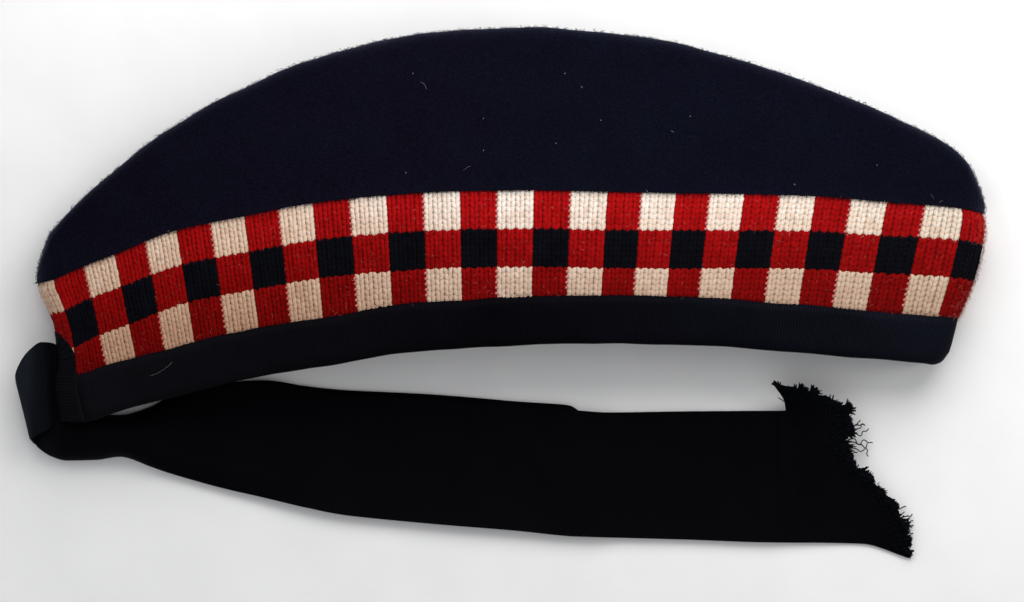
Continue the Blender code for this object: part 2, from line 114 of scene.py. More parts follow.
# Sections across the tails, root to tip: x in shares of the tail's length and y in shares of
# TAIL_WIDTH for the two edges, height in shares of FOLD_THICKNESS, curl in shares of CURL_HEIGHT
TailSection = namedtuple("TailSection", "top_x top_y low_x low_y top_z low_z curl", defaults=(0, 0, 0))
UPPER_TAIL = [TailSection(*row) for row in (
    (0.006, 0.5, 0.008, 0.05, 0.47, 0.47, 0), (-0.01, 0.63, -0.006, 0.02, 0.47, 0.47, 0),
    (-0.024, 0.64, -0.016, -0.04, 0.6, 0.58, 0), (-0.037, 0.58, -0.027, -0.08, 0.62, 0.6, 0.06),
    (-0.048, 0.485, -0.034, -0.11, 0.52, 0.5, 0.08), (-0.0545, 0.37, -0.0375, -0.115, 0.35, 0.33, 0.04),
    (-0.0515, 0.26, -0.0345, -0.145, 0.17, 0.17, 0.04), (-0.04, 0.18, -0.0265, -0.195, 0.04, 0, 0.15),
    (-0.02, 0.09, -0.012, -0.255, 0.2, 0, 0.5), (0.004, 0.07, 0.006, -0.285, 0.3, 0, 0.75),
    (0.037, 0.065, 0.039, -0.28, 0.25, 0, 0.85), (0.068, 0.06, 0.068, -0.255, 0.05, 0, 0.9),
    (0.104, 0.125, 0.103, -0.33, 0, 0, 0.72), (0.123, 0.19, 0.12, -0.37, 0, 0, 0.52),
    (0.184, 0.31, 0.182, -0.49, 0, 0, 0.25), (0.237, 0.335, 0.235, -0.575, 0, 0, 0.1),
    (0.287, 0.27, 0.287, -0.66, 0, 0, 0.05), (0.329, 0.235, 0.329, -0.715, 0, 0, 0.03),
    (0.432, 0.195, 0.432, -0.785, 0, 0, 0.02), (0.533, 0.14, 0.533, -0.84, 0, 0, 0.02),
    (0.607, 0.102, 0.603, -0.886, 0, 0, 0.02), (0.649, 0.086, 0.641, -0.894, 0, 0, 0.02),
    (0.73, 0.094, 0.73, -0.91, 0, 0, 0.02), (0.813, 0.098, 0.824, -0.933, 0, 0, 0.03),
    (0.8545, 0.101, 0.868, -0.936, 0.05, 0, 0), (0.852, 0.18, 0.905, -0.938, 0.24, 0, 0),
    (0.8437, 0.27, 0.945, -0.945, 0.42, 0, 0), (0.838, 0.317, 1, -1.059, 0.5, 0, 0),
)]
LOWER_TAIL = [TailSection(*row) for row in (
    (0, 0.17, 0, -0.24), (0.097, 0.27, 0.089, -0.39), (0.209, 0.339, 0.199, -0.52),
    (0.313, 0.294, 0.313, -0.61), (0.402, 0.264, 0.402, -0.67), (0.618, 0.23, 0.618, -0.74),
    (0.831, 0.175, 0.8, -0.79), (0.97, 0.14, 0.88, -0.805), (1, 0.075, 0.9, -0.81),
)]

# The slanted end of the upper tail: how far the cloth reaches past a straight cut, in shares of
# TAIL_WIDTH, at shares of the cut's length from its upper corner
END_REACH = ((0, 0), (0.045, 0.21), (0.097, 0.385), (0.188, 0.417), (0.301, 0.267), (0.381, 0.132),
             (0.494, 0.137), (0.602, 0.196), (0.699, 0.221), (0.807, 0.157), (1, 0))
# The section where the slant starts, how much closer its rows lie, and a tail's points across
END_SECTION = 23
END_DENSITY = 1.8
TAIL_COLUMNS = 23

# Knitting: a wale is one column of stitches and a course one row. Courses start above the seam and
# dip towards mid-length
WALES_PER_DIE = 4
COURSES_PER_DIE = 7
COURSES = 3 * COURSES_PER_DIE
COURSE = 0.00175
DIE_RUN = 0.0114
COURSE_START = 0.00135
COURSE_DIP = 0.0022
YARN = 0.00158
YARN_SIDES = 5
# Where every fourth edge between dice stands, in shares of the cap's length
DICE_EDGES = ((0.0171, 0), (0.1479, 4), (0.2913, 8), (0.4464, 12), (0.6014, 16), (0.7449, 20),
              (0.8957, 24), (0.9769, 26))
# How deep a stitch's leg lies, at shares of its way up, and how deep the ground does
LEG_DEPTH = (0, 0.2, 0.5, 0.8, 1), (0.00042, 0.00025, 0.00018, 0.00026, 0.00044)
KNIT_DEPTH = 0.00029
COLORS = ("cream", "red", "navy")
CREAM, RED, NAVY = range(3)
Legs = namedtuple("Legs", "wale course side around height seen kind")
# How much darker the knit is at the rim, partly painted shade where the band turns from the light
# and partly soil, the power that deepens the shade of red stitches, and how many hairs stand out
# of the knit
RIM_SHADE_AND_SOIL = 0.42
RED_SHADE_POWER = 1.6
FUZZ = 2700

# Ribbon: the pitch of its ribs, its thickness, how it rounds an edge and the rim's front corner,
# and how far a tail's free edge is lifted
RIM_RIB = 0.0010
TAIL_RIB = 0.0008
RIBBON_WALL = 0.0006
EDGE_ROUND = 0.0017
CORNER_ROUND = 0.0027
CORNER_HEIGHT = 0.006
EDGE_LIFT = 0.0012
# The crease that crosses the upper tail before its raised corner: height, place, and width before
# and after it, the last three in shares of the tail's length
CREASE = (0.0007, 0.848, 0.0035, 0.014)
# Folds of the pinched tail: their height, how many lie across it, and where they start
PLEATS = ((0.0006, 2.3, 0.15), (0.0004, 4.1, 0.60), (0.0002, 6.7, 0.30))
# The fray: tufts along the cut and the threads in each, the short threads of the pile, where along
# the cut its tufts are short, the shares of its length at which a thread has a point, and the least
# height of its middle
TUFTS, TUFT_THREADS, PILE = 21, 58, 1250
NOTCHES = (0.074, 0.225, 0.36, 0.55, 0.73, 0.79)
THREAD_STEPS = np.array([0, 0.34, 0.68, 0.94, 1])[None, :, None]
THREAD_LOW = 0.0001
# Loose threads at the tail's end: share along the cut, length, and heading in degrees
LOOSE_THREADS = ((0.445, 0.0115, -30), (0.44, 0.0105, -8), (0.385, 0.0055, 15), (0.415, 0.0085, 10),
                 (0.39, 0.005, 35), (0.45, 0.006, -40), (0.43, 0.0095, -18), (0.4, 0.007, 20),
                 (0.835, 0.0044, 14), (0.845, 0.0042, -4), (0.855, 0.004, -24), (0.8, 0.003, 20),
                 (0.87, 0.0036, 6), (0.89, 0.0032, -15))

# The crown's lower edge: how far it stands proud of the knit and how soon that fades, and the
# (rise, distance out) of the rows that lap over the knit, on its outer and inner skin
LIP_PROUD = 0.00070
LIP_FADE = 0.0025
LIP_OUTER = ((-0.00024, 0.00025), (-0.00018, 0.00060), (-0.00006, 0.00078))
LIP_INNER = ((-0.00022, 0.00005), (-0.00014, -0.00020), (-0.00004, -0.00045))
# How far the seam is drawn in at the front fold and at the back one, how soon that fades above and
# below it, and the share of the lip that is missing at each fold
SEAM_IN = (0.0011, 0.0006)
SEAM_IN_FADE = (0.0045, 0.0024)
LIP_DRAWN = (0.60, 0.95)
# How far the band stands out at the front fold, and is drawn in at the back one
FRONT_BULGE = 0.0022
BACK_IN = 0.0030
# The crown's grid: columns round it, and rows up its side, over the roll, down the tuck and round
# the keel. Its unevenness: height, length and number of waves
CROWN_COLUMNS = 540
CROWN_ROWS = (24, 13, 6, 4)
CROWN_WAVES = ((0.00026, 0.026, 10), (0.00005, 0.007, 14), (0.00002, 0.0022, 16))
# Hairs on the crown and along its lower edge
NAP, SEAM_FUZZ = 5600, 1300
# Where bits of lint lie on the crown, in metres, and how long each is
LINT = ((-0.0281, 0.0693, 0.0005), (-0.0232, 0.0645, 0.0042), (-0.006, 0.0555, 0.0005),
        (-0.0058, 0.0453, 0.0004), (0.018, 0.0466, 0.0006), (0.0315, 0.0546, 0.0005),
        (0.0262, 0.0655, 0.0009), (0.0208, 0.0702, 0.0005), (-0.012, 0.0385, 0.0035),
        (-0.03, 0.0382, 0.0008), (0.0558, 0.052, 0.0016), (0.0606, 0.0571, 0.0006),
        (0.1198, 0.0411, 0.0007), (0.1385, 0.0302, 0.0022), (0.1392, 0.0294, 0.0018),
        (0.0942, 0.0341, 0.0008))
# A hair on the rim ribbon: distance round, how far on it goes, height above the rim, and its climb
HAIR = (0.0340, 0.0096, 0.0084, 0.0028)

# Colours along the cap, from back to front, that yarn, wool, rim and tails are tinted with, and
# the wool's own mottle. The rim's tint is a painted highlight at its two ends, and the tails' a
# painted sheen on the loop at the back
AGED = ((0.02, (0.70, 0.56, 0.46)), (0.13, (0.80, 0.66, 0.56)), (0.27, (0.86, 0.74, 0.65)),
        (0.48, (1, 1, 1)), (0.75, (0.97, 0.95, 0.92)), (0.97, (0.85, 0.83, 0.78)))
DYED = ((0.05, (0.95, 0.85, 0.86)), (0.45, (1.05, 0.95, 1)), (0.60, (0.90, 1.04, 1.02)),
        (0.95, (0.90, 1, 0.98)))
# The rim ribbon is lighter at its back and front ends: a painted highlight where it catches the light
RIM_END_HIGHLIGHT = ((0.10, (2.05, 1.85, 1.55)), (0.50, (0.95, 0.81, 0.93)), (0.98, (2.5, 2.9, 3.05)))
# The tail ribbon is lighter at the back, up to eight times: a painted sheen on the loop where it turns
LOOP_SHEEN = ((0, (6.3, 8.6, 7.2)), (0.009, (2.6, 3.2, 2.7)), (0.035, (1.2, 1.3, 1.1)), (0.060, (1, 1, 1)))
NAVY_WOOL = ((0.25, (0.0019, 0.0017, 0.0050)), (0.50, (0.0023, 0.0021, 0.0062)),
             (0.75, (0.0021, 0.0026, 0.0068)))
# Yarn darkens to a warmer tone as its shade falls: painted shade between its stitches, and towards
# the rim partly painted shade, partly soil
WARM_SHADE = ((0, (0.02, 0.012, 0.010)), (0.5, (0.48, 0.34, 0.26)), (0.8, (0.82, 0.71, 0.64)),
              (1, (1, 1, 1)))

# Camera, floor and light. A light has a name, a place, a width, a power and a colour
CAMERA_AIM = (0.0036, -0.0024)
CAMERA_DISTANCE = 5.0
FRAME_WIDTH = 0.3277
FLOOR_WIDTH = 6.0
TABLE = -0.0002
WORLD_LIGHT = 0.53
LIGHTS = (("right", (0.22, 0.34, 0.28), 0.42, 1.85, (1.0, 0.99, 0.98)),
          ("left", (-0.16, 0.34, 0.30), 0.42, 0.85, (1.0, 0.99, 0.98)),
          ("front", (0.50, 0.02, 0.20), 0.14, 0.35, (1.0, 0.98, 0.95)))


def curve_through(at, values, wanted):
    """A smooth curve through given points: cubic pieces whose slope at each point is the harmonic
    mean of the slopes on its two sides, and zero at a turn."""
    at, values, wanted = (np.asarray(each, float) for each in (at, values, wanted))
    gap = np.diff(at)
    slope = np.diff(values) / gap
    before, after = slope[:-1], slope[1:]
    same_way = before * after > 0
    inner = np.where(same_way, 2 * before * after / np.where(same_way, before + after, 1), 0)
    ends = np.concatenate([slope[:1], inner, slope[-1:]])
    piece = np.clip(np.searchsorted(at, wanted, side="right") - 1, 0, len(gap) - 1)
    t = np.clip((wanted - at[piece]) / gap[piece], 0, 1)
    return (values[piece] * (1 + 2 * t) * (1 - t) ** 2 + values[piece + 1] * t**2 * (3 - 2 * t)
            + gap[piece] * t * (1 - t) * (ends[piece] * (1 - t) - ends[piece + 1] * t))


def summed(steps):
    """The distance at each point of a line, from the steps between its points."""
    return np.concatenate([[0], np.cumsum(steps)])


def lengths(points):
    """The lengths of the steps down a list or a grid of points."""
    return np.linalg.norm(np.diff(points, axis=0), axis=-1)


def of_section(name, share):
    """One column of SECTIONS at shares of the cap's length."""
    along, values = ([getattr(section, column) for section in SECTIONS] for column in ("along", name))
    return curve_through(along, values, share)


def seam_run():
    """The seam's length from the back fold's centre to each share of the cap's length: the sum of
    short straight steps along its arch."""
    share = np.linspace(FOLD_RADIUS / CAP_LENGTH, 1 - FOLD_RADIUS / CAP_LENGTH, 400)
    steps = np.hypot(np.diff(CAP_LENGTH * share), np.diff(SEAM_ARCH * of_section("arch", share)))
    return share, summed(steps)


SEAM_SHARE, SEAM_RUN = seam_run()
SIDE_RUN = SEAM_RUN[-1]
QUARTER = FOLD_RADIUS * math.pi / 2
UPPER_END = QUARTER + SIDE_RUN
FRONT_MIDDLE = UPPER_END + QUARTER
FRONT_END = UPPER_END + 2 * QUARTER
LOWER_END = FRONT_END + SIDE_RUN
AROUND = LOWER_END + QUARTER
Place = namedtuple("Place", "station angle end")


def place_at(around):
    """The place at a distance round the seam from the middle of the back fold: up that fold, along
    the upper side, round the front fold and back along the lower side."""
    around = np.mod(around, AROUND)
    station = (SEAM_SHARE * CAP_LENGTH - FOLD_RADIUS) / (CAP_LENGTH - FOLD_THICKNESS)
    knots = np.concatenate([[0], QUARTER + SEAM_RUN, LOWER_END - SEAM_RUN[::-1], [AROUND]])
    where = np.interp(around, knots, np.concatenate([[0], station, station[::-1], [0]]))
    turns = [0, QUARTER, UPPER_END, FRONT_END, LOWER_END, AROUND]
    angle = np.interp(around, turns, np.array([0, 1, 1, -1, -1, 0]) * math.pi / 2)
    return Place(where, angle, np.where(where < 0.5, -1.0, 1.0))


def swell(station):
    """A half sine: nothing at the folds and 1 at mid-length."""
    return np.sin(np.pi * station)


def ridge_thickness(station):
    """The ridge's thickness: the folds', plus a half sine of what mid-length adds."""
    return FOLD_THICKNESS + (RIDGE_THICKNESS - FOLD_THICKNESS) * swell(station)


def gap_scale(station):
    """The share of their full width that the ridge's gaps have: what its walls leave of it."""
    return (ridge_thickness(station) - 4 * CROWN_WALL) / (2 * ROLL_GAP + VALLEY_GAP)


def roll_of(station):
    """The ridge's roll: its middle line's distance from the mid-plane, and its radius."""
    outer = (ridge_thickness(station) - CROWN_WALL) / 2
    tucked = (VALLEY_GAP * gap_scale(station) + CROWN_WALL) / 2
    return (outer + tucked) / 2, (outer - tucked) / 2


def roll_base(station, share):
    """The rise at which the roll starts: the ridge's height less half a wall and the radius."""
    return CROWN_HEIGHT * of_section("crown", share) - CROWN_WALL / 2 - roll_of(station)[1]


def keel_rise(station, share):
    """The keel's rise: a tuck below the roll that comes up at the ends as a power of a sine."""
    return roll_base(station, share) - TUCK_DEPTH * np.sin(np.pi * np.clip(share, 0, 1)).clip(0) ** TUCK_TAPER


def thickness(station, share, rise):
    """The cap's outer thickness: the folds', plus what rim, ridge and puff add at mid-length."""
    side = SIDE_HEIGHT * of_section("side", share)
    level = np.clip((rise + side) / (side + roll_base(station, share)), 0, 1)
    ease = level**2 * (3 - 2 * level)
    rim_gain = RIM_THICKNESS - FOLD_THICKNESS
    ridge_gain = RIDGE_THICKNESS - FOLD_THICKNESS
    gain = rim_gain + (ridge_gain - rim_gain) * ease + CROWN_PUFF * np.sin(np.pi * level)
    return FOLD_THICKNESS + gain * swell(station)


def share_of(place, fold_radius):
    """The share of the cap's length at a place: its station between the middles of the two folds,
    and at a fold the cosine of its angle times the radius."""
    middle = FOLD_RADIUS + place.station * (CAP_LENGTH - FOLD_THICKNESS)
    return (middle + place.end * fold_radius * np.cos(place.angle)) / CAP_LENGTH


def share_at(around, depth=0):
    """The share of the cap's length at a distance round the seam and a depth."""
    return share_of(place_at(around), FOLD_RADIUS - depth)


def laid(place, share, rise, half):
    """Points at a rise, half a thickness from the mid-plane: x is the share of the length, less
    the rise times the sine of the lean, and y the arch plus the rise times its cosine."""
    mid = thickness(place.station, share, rise) / 2
    height = half * np.sin(place.angle)
    fade = np.clip(1 - rise / np.maximum(roll_base(place.station, share), CLEARANCE), 0, 1)
    back = RIM_SETBACK * swell(place.station) * np.clip(-height / mid, 0, 1) * fade
    lean = np.where(rise < 0, SIDE_FAN * of_section("fan", share), 0)
    x = CAP_LENGTH * share - rise * np.sin(lean)
    y = SEAM_ARCH * of_section("arch", share) + rise * np.cos(lean) + back
    return np.stack(np.broadcast_arrays(x, y, mid + height), axis=-1) + CAP_ORIGIN


def on_side(around, rise, depth):
    """Points on the cap's side, at a rise from the seam and a depth in from the outer surface."""
    place, share = place_at(around), share_at(around, depth)
    return laid(place, share, rise, thickness(place.station, share, rise) / 2 - depth)


def by_rim(around, height, depth):
    """Points on the cap's side, at a height above the rim and a depth in from the outer surface."""
    side = SIDE_HEIGHT * of_section("side", share_at(around, depth))
    return on_side(around, height - side, depth)


def rim_height(around, rise):
    """The height above the rim: the rise, plus the side's height there."""
    return rise + SIDE_HEIGHT * of_section("side", share_at(around))


def unit(vectors):
    """Vectors over their lengths."""
    return vectors / np.maximum(np.linalg.norm(vectors, axis=-1, keepdims=True), 1e-12)


def grid_normals(grid, closed=False):
    """Unit normals of a grid: the cross product of its steps along a row and up a column."""
    along = np.roll(grid, -1, 1) - np.roll(grid, 1, 1) if closed else np.gradient(grid, axis=1)
    return unit(np.cross(along, np.gradient(grid, axis=0)))


def stand(name, data):
    """An object of the scene, at the origin."""
    thing = bpy.data.objects.new(name, data)
    bpy.context.scene.collection.objects.link(thing)
    return thing


def make_piece(name, points, faces, finish, slot, shade=None, which=0):
    """A mesh from arrays of points and of faces that all have as many corners. Where the volume,
    a sum of tetrahedra to the origin, comes out negative, every face is turned round. shade is one
    number or one for each point. finish is a name, or a few of which each face has the one that
    which says. Where a piece rests on the table it is flat."""
    points, faces = np.array(points, float).reshape(-1, 3), np.asarray(faces)
    points[:, 2] = np.maximum(points[:, 2], 0)
    count = len(points)
    used, renamed = np.unique(faces, return_inverse=True)
    points, faces = points[used], renamed.reshape(faces.shape)
    corners = points[faces]
    volume = sum(np.einsum("ij,ij->", corners[:, 0], np.cross(corners[:, turn], corners[:, turn + 1]))
                 for turn in range(1, faces.shape[1] - 1))
    if volume < 0:
        faces = faces[:, ::-1]
    mesh = bpy.data.meshes.new(name)
    mesh.vertices.add(len(points))
    mesh.vertices.foreach_set("co", points.astype(np.float32).ravel())
    mesh.loops.add(faces.size)
    mesh.loops.foreach_set("vertex_index", faces.astype(np.int32).ravel())
    mesh.polygons.add(len(faces))
    mesh.polygons.foreach_set("loop_start", np.arange(0, faces.size, faces.shape[1], dtype=np.int32))
    mesh.polygons.foreach_set("material_index", np.broadcast_to(which, len(faces)).astype(np.int32))
    mesh.update(calc_edges=True)
    if shade is not None:
        layer = mesh.attributes.new(name="shade", type="FLOAT", domain="POINT")
        shade = np.broadcast_to(np.ravel(shade), count)
        layer.data.foreach_set("value", shade[used].astype(np.float32))
    mesh.shade_smooth()
    for each in [finish] if isinstance(finish, str) else finish:
        mesh.materials.append(FINISHES[each])
    piece = stand(name, mesh)
    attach(piece, "root")
    return piece


def shell_faces(rows, columns, kept=None, closed=False, zipped=False):
    """Quads of a wall between an outer grid and an inner one that follows it in the point list,
    and the cell that each comes from. A kept cell gets an edge face where its neighbour is missing."""
    across = columns if closed else columns - 1
    kept = np.ones((rows - 1, across), bool) if kept is None else kept
    row, column = np.mgrid[0 : rows - 1, 0:across]
    low, high, beside = row * columns, (row + 1) * columns, (column + 1) % columns
    ring = [low + column, low + beside, high + beside, high + column]
    padded = np.zeros((rows + 1, across + 2), bool)
    padded[1:-1, 1:-1] = kept
    if closed:
        padded[1:-1, 0], padded[1:-1, -1] = kept[:, -1], kept[:, 0]
    if zipped:
        padded[-1, 1:-1] = True
    inner, cell = rows * columns, row * across + column
    faces = [np.stack(ring, -1)[kept], np.stack([corner + inner for corner in ring[::-1]], -1)[kept]]
    cells = [cell[kept]] * 2
    beyond = (padded[:-2, 1:-1], padded[1:-1, 2:], padded[2:, 1:-1], padded[1:-1, :-2])
    for start, stop, there in zip(ring, ring[1:] + ring[:1], beyond):
        faces.append(np.stack([stop, start, start + inner, stop + inner], -1)[kept & ~there])
        cells.append(cell[kept & ~there])
    return np.concatenate(faces), np.concatenate(cells)


def joined(skins):
    """The points of several grids as one list."""
    return np.concatenate([skin.reshape(-1, 3) for skin in skins])


def raised(skins, relief):
    """Both skins of a ribbon, moved outward along the first one's normals by a relief."""
    normals = grid_normals(skins[0])
    out = np.sign((normals * (skins[0] - skins[1])).sum(-1, keepdims=True))
    return [skin + normals * out * relief[..., None] for skin in skins]


def make_ribbon(name, skins, shade, finish, slot):
    """A ribbon between two skins. The painted shade of its grooves is given for its grid or for a row."""
    size = skins[0].shape[:2]
    shade = np.broadcast_to(shade, size)
    return make_piece(name, joined(skins), shell_faces(*size)[0], finish, slot, [shade, shade])


def in_triangles(quads):
    """Each quad as two triangles, without those that have come down to a line."""
    faces = np.concatenate([quads[:, [0, 1, 2]], quads[:, [0, 2, 3]]])
    first, second, third = faces.T
    return faces[(first != second) & (second != third) & (third != first)]


def waves(points, length, count, rng):
    """Smooth unevenness between about -1 and 1: a sum of sine waves of near that length, in seeded
    directions and phases."""
    directions = unit(rng.normal(size=(count, 3))) / (length * rng.uniform(0.7, 1.5, (count, 1)))
    turns = points @ (2 * math.pi * directions).T + rng.uniform(0, 2 * math.pi, count)
    return np.sin(turns).sum(-1) / math.sqrt(count)


def tubes(path, radius, up, sides, flat=1.0):
    """Closed tubes along many paths at once, as one list of points and one of faces: a pole at each
    path's two ends and, at each point between, a ring of the given radius in the plane across the
    path, flattened along up."""
    side = unit(np.cross(np.gradient(path, axis=1), up))
    rise = unit(np.cross(side, np.gradient(path, axis=1)))
    turn = 2 * math.pi * np.arange(sides)[:, None] / sides
    spoke = np.cos(turn) * side[:, 1:-1, None] + flat * np.sin(turn) * rise[:, 1:-1, None]
    rings = path[:, 1:-1, None] + radius[:, :, None, None] * spoke
    count, steps = rings.shape[:2]
    points = np.concatenate([path[:, :1], rings.reshape(count, -1, 3), path[:, -1:]], axis=1)
    here, last = np.arange(sides), 1 + (steps - 1) * sides
    there = (here + 1) % sides
    faces = [(0 * here, 1 + here, 1 + there), (last + here, 0 * here + last + sides, last + there)]
    for low in range(1, last, sides):
        high = low + sides
        faces += [(low + here, high + here, high + there), (low + here, high + there, low + there)]
    faces = np.concatenate([np.stack(face, -1) for face in faces])
    return points, (faces + points.shape[1] * np.arange(count)[:, None, None]).reshape(-1, 3)


def scatter(grid, normals, count, rng, weight):
    """Seeded places on the faces of a grid that closes on itself, each with its normal, with a
    chance in proportion to the face's area times its weight."""
    rows, columns = grid.shape[0] - 1, grid.shape[1]
    area = np.linalg.norm(np.cross(np.roll(grid, -1, 1) - grid, np.roll(grid, -1, 0) - grid), axis=-1)
    chance = (area * weight)[:rows].ravel()
    row, column = np.divmod(rng.choice(rows * columns, count, p=chance / chance.sum()), columns)
    beside = (column + 1) % columns
    u, v = rng.random((count, 1)), rng.random((count, 1))
    low = grid[row, column] * (1 - u) + grid[row, beside] * u
    high = grid[row + 1, column] * (1 - u) + grid[row + 1, beside] * u
    return low * (1 - v) + high * v, normals[row, column]


def fibres(roots, normals, rng, length, climb, radius, bend=0.5, heading=None):
    """Fine hairs as closed tubes of three sides. Each leaves its root in a seeded direction across
    the normal, or along its heading, climbs by its share and bends as the square of the distance."""
    count = len(roots)
    across = rng.normal(size=(count, 3)) if heading is None else heading
    across = unit(across - (across * normals).sum(1, keepdims=True) * normals)
    turned = np.cross(normals, across)
    far = rng.uniform(*length, count)[:, None, None]
    t = np.linspace(0, 1, 4)[None, :, None]
    sway = rng.uniform(-bend, bend, count)[:, None, None]
    lift = rng.uniform(*climb, count)[:, None, None] * normals[:, None]
    reach = across[:, None] * t + turned[:, None] * sway * t**2 + lift * t * (1.6 - t)
    path = roots[:, None] - normals[:, None] * radius + far * reach
    path[..., 2] = np.maximum(path[..., 2], 1.5 * radius)
    thick = radius * rng.uniform(0.6, 1.3, (count, 1)) * np.array([1, 0.6])
    return tubes(path, thick, normals[:, None], 3)


def join(tree, value, socket):
    """Links a value that is a socket, and sets one that isn't."""
    if isinstance(value, bpy.types.NodeSocket):
        tree.links.new(value, socket)
    else:
        socket.default_value = value


def fill(tree, node, **inputs):
    """A node with values for its inputs, whose names have _ in place of a space."""
    for name, value in inputs.items():
        join(tree, value, node.inputs[name.replace("_", " ")])
    return node


def add_node(tree, kind, **inputs):
    """A new node with values for its inputs."""
    return fill(tree, tree.nodes.new(kind), **inputs)


def new_finish(name):
    """A finish with its node tree and its shader."""
    material = bpy.data.materials.new(name)
    material.use_nodes = True
    return material, material.node_tree, material.node_tree.nodes["Principled BSDF"]


def ramp(tree, factor, stops):
    """Colours that follow a factor through given stops."""
    node = add_node(tree, "ShaderNodeValToRGB", Fac=factor)
    elements = node.color_ramp.elements
    while len(elements) < len(stops):
        elements.new(0.5)
    for element, (place, color) in zip(elements, stops):
        element.position, element.color = place, (*color, 1)
    return node.outputs["Color"]


def grey(low, high, start=0.25, stop=0.75):
    """Stops of a ramp from one grey to another."""
    return (start, (low,) * 3), (stop, (high,) * 3)


def own_place(tree):
    """The piece's own coordinates."""
    return tree.nodes.new("ShaderNodeTexCoord").outputs["Object"]


def noise(tree, size, detail=3.0):
    """Unevenness of about the given size in metres, over the piece's own coordinates."""
    return add_node(tree, "ShaderNodeTexNoise", Vector=own_place(tree), Scale=1 / size, Detail=detail,
                    Roughness=0.55).outputs["Fac"]


def times(tree, first, second):
    """The product of two colours."""
    node = tree.nodes.new("ShaderNodeMix")
    node.data_type, node.blend_type = "RGBA", "MULTIPLY"
    for socket, value in zip((0, 6, 7), (1, first, second)):
        join(tree, value, node.inputs[socket])
    return node.outputs[2]


def along_cap(tree, stops):
    """Colours that follow the distance from the back of the cap to its front."""
    x = add_node(tree, "ShaderNodeSeparateXYZ", Vector=own_place(tree)).outputs["X"]
    half = CAP_LENGTH / 2
    share = add_node(tree, "ShaderNodeMapRange", Value=x, From_Min=-half, From_Max=half)
    return ramp(tree, share.outputs["Result"], stops)


def cloth(name, stops, mottle, grain, grain_range, roughness, gloss, weave, weave_depth, sheen=0.0,
          sheen_tint=(1, 1, 1), sheen_width=0.5, shades=None, dirt_dye_and_sheen=None):
    """A cloth finish: colour mottled between stops, darker and lighter by its grain, with a woven
    or fibrous bump and a soft sheen. shades are the tints that the piece's shade goes through,
    mostly painted shade, and the last argument gives a tint from back to front, which on the
    ribbons is a painted highlight and sheen."""
    material, tree, shader = new_finish(name)
    color = times(tree, ramp(tree, noise(tree, mottle), stops),
                  ramp(tree, noise(tree, grain, 2.0), grey(*grain_range)))
    if shades:
        read = tree.nodes.new("ShaderNodeAttribute")
        read.attribute_name = "shade"
        color = times(tree, color, ramp(tree, read.outputs["Fac"], shades))
    if dirt_dye_and_sheen:
        color = times(tree, color, along_cap(tree, dirt_dye_and_sheen))
    bump = add_node(tree, "ShaderNodeBump", Height=noise(tree, weave), Strength=0.7, Distance=weave_depth)
    fill(tree, shader, Base_Color=color, Roughness=roughness, Specular_IOR_Level=gloss,
         Sheen_Weight=sheen, Sheen_Roughness=sheen_width, Sheen_Tint=(*sheen_tint, 1),
         Normal=bump.outputs["Normal"])
    return material


def yarn(name, low, high, glow=0.0, dirt_dye_and_sheen=AGED):
    """Yarn, mottled between two colours."""
    return cloth(name, ((0.3, low), (0.7, high)), 0.006, 0.00035, (0.88, 1.10), 0.95, 0.04, 0.0003,
                 0.0001, glow, (1.0, 0.9, 0.85), shades=WARM_SHADE, dirt_dye_and_sheen=dirt_dye_and_sheen)


def strand(name, low, high, grain_range=(0.8, 1.1), roughness=0.9, gloss=0.05):
    """Loose fibres, mottled between two colours."""
    return cloth(name, ((0.25, low), (0.75, high)), 0.002, 0.0004, grain_range, roughness, gloss,
                 0.0004, 0.00005)


def ribbon(name, low, high, roughness, gloss, weave_depth, dirt_dye_and_sheen, *sheen):
    """Ribbon, mottled between two colours and black where the painted shade of its grooves is 0."""
    return cloth(name, ((0.3, low), (0.7, high)), 0.02, 0.0004, (0.7, 1.2), roughness, gloss, 0.0003,
                 weave_depth, *sheen, shades=grey(0, 1, 0, 1), dirt_dye_and_sheen=dirt_dye_and_sheen)


